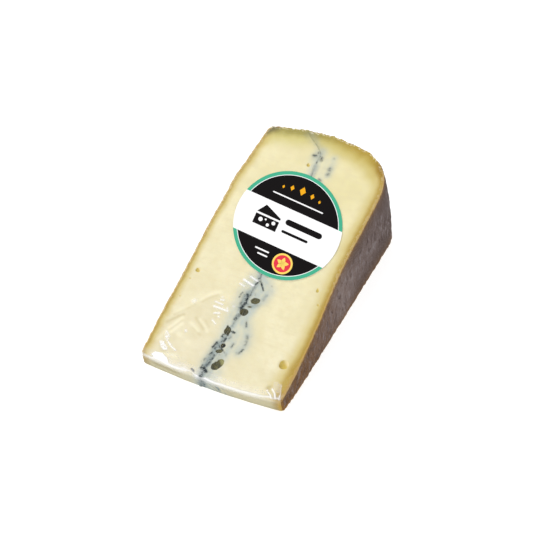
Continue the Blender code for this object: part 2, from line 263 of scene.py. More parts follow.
MOULD_HAZE = (
    (3.5, 0.97, (
        (-4.4, 28.6), (-4.5, 36.0), (-3.6, 44.0), (-2.0, 52.0),
        (-1.4, 60.0), (-0.9, 68.0), (-0.7, 76.0), (0.0, 87.0),
    )),
    (3.4, 0.85, ((2.4, 71.5), (5.6, 75.0), (6.4, 80.0), (3.0, 84.0))),
    (3.5, 0.75, ((2.2, 64.0), (4.4, 59.2), (6.6, 54.5), (7.2, 49.5), (5.8, 46.8))),
    (3.0, 0.8, ((1.4, 56.0), (1.6, 49.0), (0.8, 42.0), (-1.6, 33.0), (-2.0, 29.0))),
    (3.4, 1.0, ((1.6, 61.0), (2.6, 70.0), (3.0, 77.0), (1.0, 86.0))),
    (2.6, 0.6, ((-4.4, 55.0), (-4.6, 66.0), (-4.8, 76.0), (-3.4, 84.0))),
    (3.0, 0.65, ((0.4, 140.0), (0.4, 148.0), (-0.8, 153.6), (0.6, 156.0))),
    (2.3, 0.5, ((7.8, 145.5), (7.8, 150.0), (7.2, 155.0))),
    (2.6, 0.6, ((0.4, 29.0), (1.6, 33.5))),
    (2.0, 0.55, ((5.0, 142.5), (6.4, 141.0))),
    (2.6, 0.35, ((4.6, 144.0), (4.6, 153.0))),
    (1.5, 0.15, ((-1.0, 157.0), (-4.0, 161.0), (-8.0, 164.0))),
)
# The marks are this many times as wide as their rows say
MARK_WIDER = 1.5
# On the cut tip: middle, half width and strength of the haze, the cloud and the mark, and smears
# beside them: middle, half width, strength and size
TIP_MOULD = ((-3.0, 6.5, 0.75), (-4.8, 2.7, 1.1), (-4.7, 1.5, 0.35))
TIP_SMEARS = (3.0, 6.5, 1.8, 1.4)

# Folds of the film on the upper cut face, whitened as painted glints: half width, whiteness, points (x, r)
FILM_FOLDS = (
    (1.0, 0.5, ((-24.5, 62.7), (-23.9, 63.2))),
    (0.5, 0.65, ((-12.6, 68.0), (-11.2, 68.2))),
    (0.6, 0.4, ((-12.6, 69.3), (-12.2, 69.5))),
    (0.5, 0.65, ((-14.5, 66.2), (-10.8, 65.9))),
    (0.6, 0.75, ((-14.2, 63.8), (-10.6, 63.7), (-7.2, 63.6))),
    (0.4, 0.6, ((-7.9, 65.1), (-7.6, 64.4))),
    (0.55, 0.7, ((-12.5, 60.6), (-10.3, 61.3))),
    (0.45, 0.7, ((-10.0, 59.6), (-9.8, 59.4))),
    (0.42, 0.7, ((-11.9, 56.9), (-9.8, 55.6))),
    (0.45, 0.45, ((-5.5, 67.0), (-5.2, 66.8))),
    (0.5, 0.95, ((-6.8, 81.4), (-1.4, 79.9))),
    (0.45, 0.85, ((-4.5, 83.9), (-0.5, 82.8))),
    (0.42, 0.75, ((-7.6, 78.8), (-5.1, 78.2))),
    (0.6, 0.6, ((-21.5, 47.6), (-21.1, 47.4))),
    (0.5, 0.4, ((-29.8, 44.1), (-29.3, 42.9))),
    (0.35, 0.8, ((-26.6, 39.4), (-25.4, 38.3))),
    (0.42, 0.7, ((-24.4, 37.7), (-21.6, 36.6))),
    (0.4, 0.75, ((27.7, 32.2), (29.2, 31.3), (30.2, 29.9))),
    (0.45, 0.8, ((28.9, 34.4), (30.8, 32.7), (32.0, 30.6))),
    (0.4, 0.65, ((33.5, 32.6), (33.7, 30.8))),
    (0.35, 0.4, ((31.9, 37.6), (33.6, 32.6))),
    (0.5, 0.7, ((26.9, 32.9), (27.1, 32.8))),
)
# Soft folds, painted as highlights on what is behind them, where the film hardly rises: half width, strength,
# points
SOFT_FOLDS = (
    (1.0, 0.8, ((-25.9, 53.2), (-27.7, 49.3), (-29.6, 46.2))),
    (0.8, 0.4, ((-29.6, 46.2), (-32.2, 39.2))),
    (0.9, 0.8, ((-24.6, 50.3), (-26.3, 47.2), (-27.9, 44.3))),
    (0.9, 0.7, ((-20.8, 52.2), (-18.5, 51.0), (-15.9, 49.5))),
    (0.8, 0.6, ((-17.6, 55.2), (-14.4, 53.2), (-11.7, 50.7))),
    (1.2, 0.7, ((-21.6, 65.0), (-19.3, 67.9), (-17.1, 70.1), (-14.9, 71.6))),
    (1.2, 0.35, ((-29.8, 55.0), (-27.2, 58.2), (-24.4, 62.0))),
    (3.0, 0.35, ((-27.0, 61.5), (-22.0, 67.0))),
    (1.3, 0.5, ((-18.3, 42.8), (-17.5, 42.5))),
    (1.3, 0.6, ((-23.8, 44.9), (-23.0, 44.5))),
    (0.8, 0.6, ((-25.8, 33.4), (-20.2, 34.0))),
)
# How far the film stands up along folds and along soft folds
FOLD_RISE = 0.18
SOFT_RISE = 0.07
# Lines beside the folds, painted darker on what is behind the film as shade: half width, strength, points
FOLD_SHADES = (
    (0.8, 0.8, ((-25.9, 54.9), (-27.6, 53.2), (-29.5, 51.3), (-31.6, 48.7))),
    (0.45, 0.5, ((-25.4, 51.7), (-28.9, 45.4))),
    (0.7, 0.65, ((-19.8, 55.4), (-16.8, 53.2), (-14.0, 51.4))),
    (0.6, 0.45, ((-18.4, 50.0), (-14.2, 47.8))),
    (0.5, 0.45, ((-14.8, 55.5), (-12.1, 53.1))),
    (0.7, 0.55, ((-20.5, 64.2), (-17.6, 67.7), (-15.0, 69.7))),
    (0.6, 0.35, ((-23.0, 61.4), (-27.2, 56.6), (-30.1, 53.4))),
    (0.5, 0.4, ((-30.6, 38.0), (-28.2, 34.4), (-25.2, 34.0))),
)
# Crumpled patches of the film, white partly from crumpling and partly as painted glare: whiteness, how
# speckled, and corners anticlockwise (x, r)
FILM_PATCHES = (
    (0.7, 0.8, (
        (-30.8, 38.0), (-29.2, 36.2), (-27.4, 34.6), (-25.2, 35.3),
        (-25.8, 36.8), (-28.7, 38.9), (-30.2, 39.0),
    )),
    (0.9, 0.25, (
        (-31.4, 31.0), (-28.5, 29.0), (-23.9, 28.3), (-21.5, 28.6),
        (-24.0, 32.0), (-26.9, 33.2), (-30.4, 32.8),
    )),
    (0.5, 1.3, ((-30.3, 43.9), (-29.0, 40.6), (-27.3, 39.2), (-26.6, 40.0), (-27.3, 43.0), (-29.5, 44.6))),
    (0.45, 1.3, ((-27.3, 39.2), (-24.6, 37.2), (-21.8, 36.2), (-21.1, 36.9), (-26.6, 39.8))),
    (0.22, 0.5, ((27.6, 38.3), (29.2, 35.2), (31.4, 33.1), (33.4, 33.9), (31.3, 38.2))),
)
# The painted highlight along the film's front edge: x, how far behind the edge, half width and whiteness
EDGE_HIGHLIGHT = (
    (-36, -1.2, 0.5, 0.5), (-34, -1.3, 0.6, 0.6), (-31, -0.7, 0.8, 0.75), (-28, 0.8, 1.8, 1.0),
    (-25, 0.5, 1.6, 1.0), (-22, -0.2, 1.0, 0.97), (-19, -0.3, 1.0, 0.92), (-16, 0.0, 0.9, 0.88),
    (-13, 0.6, 0.8, 0.8), (-11, 0.8, 0.5, 0.55), (-9.8, 0.5, 0.45, 0.45), (-8.6, 0.0, 0.5, 0.8),
    (-7, -0.2, 0.8, 0.95), (-5, -0.6, 0.5, 0.4), (-3, -0.1, 0.7, 0.95), (0, -0.4, 0.9, 1.0),
    (3, -0.5, 1.0, 0.88), (14, -0.5, 0.9, 0.85), (18, -0.4, 0.85, 0.83), (22, -0.1, 0.8, 0.85),
    (26, 0.0, 0.7, 0.7), (29, 0.7, 0.7, 0.75), (31, 0.4, 0.6, 0.5), (33, 0.9, 0.6, 0.65),
    (35, 0.9, 0.5, 0.3),
)
# How white the film's painted sheen is just below that edge, by x
EDGE_SHEEN = (
    (-36, 0.35), (-30, 0.52), (-16, 0.42), (-13, 0.22), (-10.5, 0.1), (-9.5, 0.12), (-7.5, 0.55),
    (-5, 0.25), (-3, 0.5), (18, 0.5), (22, 0.45), (26, 0.25), (31, 0.2), (33, 0.1),
)
# And how white a painted sheen it has just behind the edge
EDGE_TOP_SHEEN = (
    (-36, 0.1), (-30, 0.2), (-22, 0.3), (-14, 0.5), (-11, 0.25), (-7, 0.25), (-4, 0), (3, 0.25), (36, 0.15),
)
# A dotted line of small bubbles behind the edge: by x, how far behind
BUBBLE_LINE = ((-25, 4.6), (-18, 4.9), (-13, 3.9), (-8, 3.2), (0, 2.6), (26, 2.2))
# Where the film stands off the paste, which looks a little greyer there: corners anticlockwise
SLACK = ((-37, 28), (-9, 28), (-5, 50), (-7, 68), (-14.5, 70.2), (-23, 61.7), (-30.1, 53.4), (-37, 44))
# Space between the film and the upper face, the sides and the floor
FILM_LIFT = 0.12
FILM_SIDE_LIFT = 0.25
FILM_FLOOR = 0.03
# Radius of the film's edges, its share of the rind's relief, and its share of shine
FILM_EDGE = 1.4
FILM_RELIEF = 0.5
FILM_SHINE = 0.008
# Heights of the label's faces and of a layer of ink over the cut face
LABEL_BOTTOM = 0.14
LABEL_TOP = 0.45
INK_SUNK = 0.05
INK_LAYER = 0.012
# How far the print is turned on the label
PRINT_TURN = math.radians(50.6)
# The print, in shares of the label's radius: the band's edges, and radii of the rim and the fields
BAND_TOP = 0.293
BAND_FOOT = -0.447
RIM_INNER = 0.934
FIELD_RADIUS = 0.922

# How many places each piece has across, along and up. Relative cell sizes, by distance from the ash
# line or by x, which both end at SPAN, and by distance from the axis
SPAN = 36
ACROSS_STEPS = 78
ALONG_STEPS = 300
UP_STEPS = 54
ACROSS_CELLS = ((0, 0.3), (9, 0.35), (14, 0.7), (30, 0.7), (34, 0.35), (36, 0.2))
ALONG_CELLS = (
    (28, 0.2), (31, 0.38), (86, 0.4), (92, 0.9), (138, 0.9), (143, 0.42), (158, 0.42), (164, 0.3), (166, 0.2),
)
ASH_ACROSS_STEPS = 5
ASH_UP_STEPS = 16
FILM_ACROSS_STEPS = 190
FILM_ALONG_STEPS = 290
FILM_UP_STEPS = 22
FILM_ACROSS_CELLS = (
    (-36, 0.25), (-33, 0.3), (-20, 0.33), (0, 0.36), (4, 0.8), (24, 0.8), (28, 0.32), (36, 0.25),
)
FILM_ALONG_CELLS = (
    (28, 0.2), (31, 0.25), (74, 0.3), (85, 0.38), (92, 1.3), (158, 1.3), (164, 0.6), (166, 0.35),
)
# Three of a block's six sides, as box_shell numbers them
LOW_X, HIGH_X, HEEL_END = 0, 1, 3

# The camera, fitted to the photograph: angles, distance and aim in millimetres, and its focal
# length in the photograph's pixels
CAMERA_AZIMUTH = math.radians(25.2)
CAMERA_ELEVATION = math.radians(46.2)
CAMERA_DISTANCE = 1504.4
CAMERA_AIM = (-0.465, 92.57, 20.0)
FOCAL_LENGTH_PX = 3198.2
PHOTO_WIDTH_PX = 540
SENSOR_WIDTH = 36

# Soft lights: name, direction, distance and size in metres, and power in watts
LIGHTS = (
    ("key", (-0.6, 0.3, 0.75), 1.3, 0.6, 4.5),
    ("front", (-0.3, -0.6, 0.75), 1.3, 0.2, 2.4),
)
FLOOR_SIZE = 6
FLOOR_GREY = 0.5
FLOOR_GLOW = 0.7
SURROUND_STRENGTH = 0.93

# The label's inks: name, colour and roughness
INKS = (
    ("label_white", (240, 240, 240), 0.5),
    ("print_black", (16, 13, 14), 0.6),
    ("print_green", (68, 168, 134), 0.5),
    ("print_orange", (230, 164, 26), 0.5),
    ("print_red", (216, 54, 72), 0.5),
    ("print_yellow", (238, 206, 100), 0.5),
)


def left_x(r, _angle):
    """x of the left flat rind."""
    along = np.maximum(0.0, (r - TAPER_START) / TAPER_LENGTH)
    dip = LEFT_DIP * np.exp(-(((r - LEFT_DIP_AT) / LEFT_DIP_LENGTH) ** 2))
    bulge = LEFT_BULGE * np.exp(-(((r - LEFT_BULGE_AT) / LEFT_BULGE_LENGTH) ** 2))
    return LEFT_X + LEFT_TAPER * along + LEFT_TURN_IN * along**LEFT_TURN_POWER + dip - bulge


def right_x(r, angle):
    """x of the right flat rind."""
    height = angle / WEDGE_ANGLE
    turn = 2 * math.pi * (r - RIGHT_WAVE_CREST) / RIGHT_WAVE_LENGTH
    wave = RIGHT_WAVE * np.cos(turn) * height
    spread = RIGHT_SPREAD * (1 - np.exp((TIP_RADIUS - r) / RIGHT_SPREAD_LENGTH))
    return RIGHT_X + wave + spread * (1 - height)


def tip_r(x, angle):
    """Distance of the cut tip from the axis."""
    middle = WEDGE_ANGLE / 2
    flat = math.cos(middle) / np.cos(angle - middle)
    return (TIP_RADIUS + TIP_BULGE * (x / TIP_HALF_WIDTH) ** 2) * flat


def heel_r(x):
    """Distance of the heel from the axis."""
    return HEEL_RADIUS - HEEL_FALL * ((x - HEEL_CROWN_X) / HEEL_HALF_WIDTH) ** 2


def in_space(x, r, angle):
    """Points in millimetres from the wheel's axis."""
    return np.stack([x, r * np.cos(angle), r * np.sin(angle)], -1)


def noise_at(points, size):
    """Smooth noise from about -1 to 1 at each point, with lumps of this size."""
    flat = (np.asarray(points) / size).reshape(-1, 3)
    values = np.array([noise.noise(p) for p in flat.tolist()])
    return values.reshape(np.shape(points)[:-1])


def ash_x(r, angle):
    """Middle of the ash layer."""
    tip_bend = ASH_TIP_BEND * np.exp((TIP_RADIUS - r) / ASH_TIP_BEND_LENGTH)
    rim_bend = ASH_RIM_BEND / (1 + np.exp((ASH_RIM_BEND_AT - r) / ASH_RIM_BEND_LENGTH))
    depth = 1 - angle / WEDGE_ANGLE
    wave = ASH_WAVE * np.sin(2 * math.pi * r / ASH_WAVE_LENGTH + ASH_WAVE_SHIFT * depth)
    drift = ASH_DRIFT * depth * np.sin(math.pi * (r - TIP_RADIUS) / HEEL_RADIUS)
    return ASH_MIDDLE_X - tip_bend - rim_bend * (1 - depth / 2) + wave - drift


def ash_half(r, angle):
    """Half the ash layer's thickness."""
    r, angle = np.broadcast_arrays(r, angle)
    return ASH_HALF + ASH_HALF_CHANGE * noise_at(in_space(np.zeros_like(r), r, angle), ASH_PATCH)


def tip_meets(offset, angle):
    """x where the ash line, moved sideways by offset, meets the tip."""
    return ash_x(TIP_RADIUS, angle) + offset


def heel_meets(offset, angle):
    """x where the ash line, moved sideways by offset, meets the heel; it settles within 20 rounds."""
    r = np.full_like(angle, HEEL_RADIUS)
    for _ in range(20):
        x = ash_x(r, angle) + offset
        r = heel_r(x)
    return x


def turned(p, q, angle):
    """Points (p, q), turned about the origin."""
    c, s = math.cos(angle), math.sin(angle)
    return p * c - q * s, p * s + q * c


def share(value, low, high):
    """0 at low, 1 at high, in between by proportion."""
    return np.clip((value - low) / (high - low), 0, 1)


def smooth(value, low, high):
    """0 up to low, 1 from high, with a smooth step between."""
    t = share(value, low, high)
    return t * t * (3 - 2 * t)


def bend(before, corner, after, t):
    """Quadratic curve between two points (x, r) that bends at the corner."""
    return tuple(
        (1 - t) ** 2 * a + 2 * t * (1 - t) * b + t**2 * c
        for a, b, c in zip(before, corner, after)
    )


def smooth_outline(side, s, angle, gap):
    """One half's outline without relief, as x and r.

    side is -1 for the left half and 1 for the right one. s runs from 0 to 1 along the tip, from the
    ash line out, to 2 along the flat rind and to 3 back along the heel. gap is the space to the
    middle of the ash line.
    """
    left = side < 0
    side_at = left_x if left else right_x
    opened = RIGHT_HEEL_CORNER + RIGHT_CORNER_OPENS * angle / WEDGE_ANGLE
    reach = LEFT_HEEL_CORNER if left else opened
    on_side = LEFT_CORNER_ON_SIDE if left else RIGHT_CORNER_ON_SIDE
    on_heel = LEFT_CORNER_ON_HEEL if left else RIGHT_CORNER_ON_HEEL

    outer = side_at(TIP_RADIUS, angle)
    tip_corner = (outer, tip_r(outer, angle))
    rim = side_at(HEEL_RADIUS - HEEL_FALL, angle)
    rim_corner = (rim, heel_r(rim))
    tip_end = tip_corner[0] - side * TIP_CORNER
    side_start = tip_corner[1] + TIP_CORNER
    side_end = rim_corner[1] - reach
    heel_start = rim_corner[0] - side * reach
    inner_tip = tip_meets(side * gap, angle)
    inner_heel = heel_meets(side * gap, angle)

    tip_x = inner_tip + (tip_end - inner_tip) * share(s, 0, 1 - TIP_CORNER_ON_TIP)
    along = side_start + (side_end - side_start) * share(s, 1 + TIP_CORNER_ON_SIDE, 2 - on_side)
    heel_x = heel_start + (inner_heel - heel_start) * share(s, 2 + on_heel, 3)
    tip_turn = (share(s, 1 - TIP_CORNER_ON_TIP, 1) + share(s, 1, 1 + TIP_CORNER_ON_SIDE)) / 2
    heel_turn = (share(s, 2 - on_side, 2) + share(s, 2, 2 + on_heel)) / 2

    pieces = (
        (tip_x, tip_r(tip_x, angle)),
        bend(
            (tip_end, tip_r(tip_end, angle)), tip_corner,
            (side_at(side_start, angle), side_start), tip_turn,
        ),
        (side_at(along, angle), along),
        bend(
            (side_at(side_end, angle), side_end), rim_corner,
            (heel_start, heel_r(heel_start)), heel_turn,
        ),
        (heel_x, heel_r(heel_x)),
    )
    where = [
        s <= 1 - TIP_CORNER_ON_TIP,
        s <= 1 + TIP_CORNER_ON_SIDE,
        s <= 2 - on_side,
        s <= 2 + on_heel,
        s <= 3,
    ]
    return np.select(where, [p[0] for p in pieces]), np.select(where, [p[1] for p in pieces])


def rough_outline(side, s, angle, gap, out=0.0, relief=1.0, crumbs=0.0):
    """One half's outline with its relief, moved out by a distance."""
    s, angle, gap = np.broadcast_arrays(s, angle, gap)
    step = 0.002
    x, r = smooth_outline(side, s, angle, gap)
    before = smooth_outline(side, np.clip(s - step, 0, 3), angle, gap)
    after = smooth_outline(side, np.clip(s + step, 0, 3), angle, gap)
    along_x, along_r = after[0] - before[0], after[1] - before[1]
    length = np.hypot(along_x, along_r)
    where = in_space(x, r, angle)
    rind = LUMP_RELIEF * noise_at(where, LUMP_SIZE) + CRAG_RELIEF * noise_at(where, CRAG_SIZE)
    rind += GRAIN_RELIEF * noise_at(where, GRAIN_SIZE)
    crumb_relief = CRUMB_RELIEF + (RIM_CRUMB_RELIEF - CRUMB_RELIEF) * smooth(s, 1.97, 2.05)
    rind += crumbs * crumb_relief * noise_at(where, CRUMB_SIZE)
    cut = TIP_RELIEF * noise_at(where, LUMP_SIZE)
    on_rind = smooth(s, 1 - TIP_CORNER_ON_TIP, 1)
    move = relief * (rind * on_rind + cut * (1 - on_rind)) + out
    return x + side * along_r / length * move, r - side * along_x / length * move


def box_shell(nu, nv, nw, plain_floor=False):
    """Grid places on the surface of a block of cells, and the quads that join them.

    With a plain floor, the lowest side is one face, whose corners are given too.
    """
    on = np.zeros((nu, nv, nw), bool)
    on[[0, -1]] = True
    on[:, [0, -1]] = True
    on[:, :, [0, -1]] = True
    if plain_floor:
        on[1:-1, 1:-1, 0] = False
    index = np.full(on.shape, -1)
    index[on] = np.arange(on.sum())
    quads = []
    kinds = []
    sheets = (
        (index[0], True), (index[-1], False),
        (index[:, 0], False), (index[:, -1], True),
        (index[:, :, -1], False), (index[:, :, 0], True),
    )
    for kind, (sheet, flip) in enumerate(sheets[:5] if plain_floor else sheets):
        corners = (sheet[:-1, :-1], sheet[1:, :-1], sheet[1:, 1:], sheet[:-1, 1:])
        quad = np.stack(corners, -1).reshape(-1, 4)
        quads.append(quad[:, ::-1] if flip else quad)
        kinds.append(np.full(len(quad), kind))
    floor = index[:, :, 0]
    outline = np.concatenate([floor[0, :-1], floor[:-1, -1], floor[-1, :0:-1], floor[:0:-1, 0]])
    return np.argwhere(on), np.concatenate(quads), np.concatenate(kinds), outline


def spaced(start, end, count, sizes):
    """Places from start to end, with these relative cell sizes at some of them."""
    fine = np.linspace(start, end, 3000)
    size = np.interp(fine, [at for at, _ in sizes], [size for _, size in sizes])
    run = np.concatenate([[0], np.cumsum(1 / size[1:])])
    return np.interp(np.linspace(0, run[-1], count), run, fine)


def crowded(count, ends):
    """Shares from 0 to 1, closer together towards both ends."""
    t = np.linspace(0, 1, count)
    return t - ends * np.sin(2 * math.pi * t) / (2 * math.pi)


def coons(tip, outer, heel, inner, u, v, places):
    """Points between four edges: tip and heel by (u, level), inner and outer by (v, level)."""
    i, j, k = places.T
    u, v = u[i], v[j]
    blend = []
    for t, o, h, n in zip(tip, outer, heel, inner):
        across = (1 - u) * n[j, k] + u * o[j, k]
        along = (1 - v) * t[i, k] + v * h[i, k]
        inner_corners = (1 - v) * n[0, k] + v * n[-1, k]
        outer_corners = (1 - v) * o[0, k] + v * o[-1, k]
        blend.append(across + along - ((1 - u) * inner_corners + u * outer_corners))
    return blend


def edge_drop(gap, radius):
    """How far a face falls away at this distance from a rounded edge's middle line."""
    flat = radius * (1 - math.sqrt(0.5))
    near = np.clip(radius - flat - gap, 0, None)
    return radius - np.sqrt(radius**2 - near**2)


def edge_shift(height, radius):
    """How far points on the side move from a cut face, to make room for its rounded edge."""
    flat = radius * (1 - math.sqrt(0.5))
    return np.where(height < radius, flat * (1 - height / radius), 0.0)


def side_inset(height, radius):
    """How far the side moves in at this height below a rounded edge."""
    return edge_drop(np.clip(height, 0, None) * math.sqrt(0.5), radius)


def distance_to(line, x, r):
    """Distance from each point to a line of points."""
    count = len(line[0])
    fine = np.linspace(0, count - 1, count * 5)
    lx = np.interp(fine, np.arange(count), line[0])
    lr = np.interp(fine, np.arange(count), line[1])
    tree = kdtree.KDTree(len(fine))
    for i, (a, b) in enumerate(zip(lx.tolist(), lr.tolist())):
        tree.insert((a, b, 0), i)
    tree.balance()
    return np.array([tree.find((a, b, 0))[2] for a, b in zip(x.tolist(), r.tolist())])


def path_distance(x, r, points):
    """Distance from each point (x, r) to a path."""
    best = np.full_like(x, 1e9)
    for (ax, ar), (bx, br) in zip(points, points[1:]):
        dx, dr = bx - ax, br - ar
        t = np.clip(((x - ax) * dx + (r - ar) * dr) / (dx * dx + dr * dr), 0, 1)
        best = np.minimum(best, np.hypot(x - ax - t * dx, r - ar - t * dr))
    return best


def hollow(x, r, eye, ragged=0.0):
    """How far out in an eye, 0 at its middle and 1 at its edge, and the distance outside its edge."""
    cx, cr, half_width, half_length, turn = eye
    across, along = turned(x - cx, r - cr, -math.radians(turn))
    q = np.hypot(across / half_width, along / half_length)
    if ragged:
        near = q < 2
        where = np.stack([x[near], r[near], np.full(near.sum(), cr)], -1)
        q[near] += ragged * noise_at(where, 0.9 + 0.25 * min(half_width, half_length))
    return q, (q - 1) * min(half_width, half_length)


def dents(x, r, eyes, depth, ragged, opens=EYE_OPENS):
    """How deep some eyes dent the face, the signed distance to the nearest, and which side of it, towards the
    light or away from it.
    """
    deep = np.zeros_like(x)
    gap = np.full_like(x, NO_EYE)
    facing = np.zeros_like(x)
    for eye in eyes:
        q, outside = hollow(x, r, eye, ragged)
        size = min(eye[2], eye[3])
        to_open = ((x - eye[0]) * opens[0] + (r - eye[1]) * opens[1]) / size
        bowl = depth * size * np.clip(1 - q * q, 0, None) ** 0.6 * (1 - 0.45 * np.clip(to_open, -1, 1))
        deep = np.maximum(deep, bowl)
        facing = np.where(outside < gap, to_open, facing)
        gap = np.minimum(gap, outside)
    return deep, gap, np.clip(facing, -1, 1)


def polygon_gap(x, r, corners):
    """Signed distance to a convex shape's edge, negative inside; corners anticlockwise."""
    gap = np.full_like(x, -1e9)
    for (ax, ar), (bx, br) in zip(corners, corners[1:] + corners[:1]):
        length = math.hypot(bx - ax, br - ar)
        gap = np.maximum(gap, ((x - ax) * (br - ar) - (r - ar) * (bx - ax)) / length)
    return gap


def strokes(x, r, lines, wider=1.0):
    """Soft lines: for each point the strength of the strongest."""
    strength = np.zeros_like(x)
    for half, most, points in lines:
        off = path_distance(x, r, points) / (half * wider)
        strength = np.maximum(strength, most * np.exp(-(off**2)))
    return strength


def cut_grain(points):
    """Fine unevenness of a cut face."""
    return sum(height * noise_at(points, size) for height, size in CUT_GRAIN)


def mould(x, r):
    """How dense the mould's haze, clouds and marks are on the upper cut face."""
    from_ash = (x - ash_x(r, WEDGE_ANGLE)) / ASH_LINE_HALF
    line = np.interp(r, *zip(*ASH_STRONG)) * np.exp(-(from_ash**2))
    marks = np.maximum(strokes(x, r, MOULD_MARKS, MARK_WIDER), line)
    return strokes(x, r, MOULD_HAZE), strokes(x, r, MOULD_CLOUDS), marks


def to_frame(points):
    """Points in metres in the frame, from millimetres about the wheel's axis."""
    return np.asarray(points) * MM + np.array(wheel_axis)


def find_wheel_axis():
    """Where the wheel's axis lies in the frame: the label's box says."""
    low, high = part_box("label")
    middle = LABEL_LIFT + LABEL_THICK / 2
    centre = Vector(in_space(LABEL_X, LABEL_R, WEDGE_ANGLE)) + Vector(CUT_NORMAL) * middle
    return (low + high) / 2 - centre * MM


CUT_NORMAL = np.array([0, -math.sin(WEDGE_ANGLE), math.cos(WEDGE_ANGLE)])
wheel_axis = find_wheel_axis()


def make_piece(name, points, faces, kinds, materials, attributes, sharp=60, parting=None):
    """An object from points in millimetres, with a material for each kind of face.

    parting marks the faces whose border with the others is a sharp edge.
    """
    data = bpy.data.meshes.new(name)
    counts = np.array([len(face) for face in faces])
    corners = np.concatenate(faces)
    data.vertices.add(len(points))
    data.vertices.foreach_set("co", to_frame(points).astype(np.float32).ravel())
    data.loops.add(len(corners))
    data.loops.foreach_set("vertex_index", corners.astype(np.int32))
    data.polygons.add(len(faces))
    data.polygons.foreach_set("loop_start", (np.cumsum(counts) - counts).astype(np.int32))
    data.polygons.foreach_set("material_index", np.asarray(kinds).astype(np.int32))
    for key, values in attributes.items():
        layer = data.attributes.new(key, "FLOAT", "POINT")
        layer.data.foreach_set("value", values.astype(np.float32))
    for material in materials:
        data.materials.append(material)
    data.update(calc_edges=True)
    data.validate()
    data.shade_smooth()
    data.set_sharp_from_angle(angle=math.radians(sharp))
    if parting is not None:
        edge_of = np.empty(len(corners), np.int32)
        data.loops.foreach_get("edge_index", edge_of)
        parted = np.repeat(parting, counts).astype(float)
        beside = np.bincount(edge_of, parted) * np.bincount(edge_of, 1 - parted)
        is_sharp = np.zeros(len(data.edges), bool)
        data.edges.foreach_get("use_edge_sharp", is_sharp)
        data.edges.foreach_set("use_edge_sharp", is_sharp | (beside > 0))
    piece = bpy.data.objects.new(name, data)
    bpy.context.scene.collection.objects.link(piece)
    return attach(piece, "root")


def along_shares(count, cells):
    """Shares of the way from the tip to the heel, with these cell sizes."""
    r = spaced(TIP_RADIUS, HEEL_RADIUS, count, cells)
    return (r - TIP_RADIUS) / (HEEL_RADIUS - TIP_RADIUS)


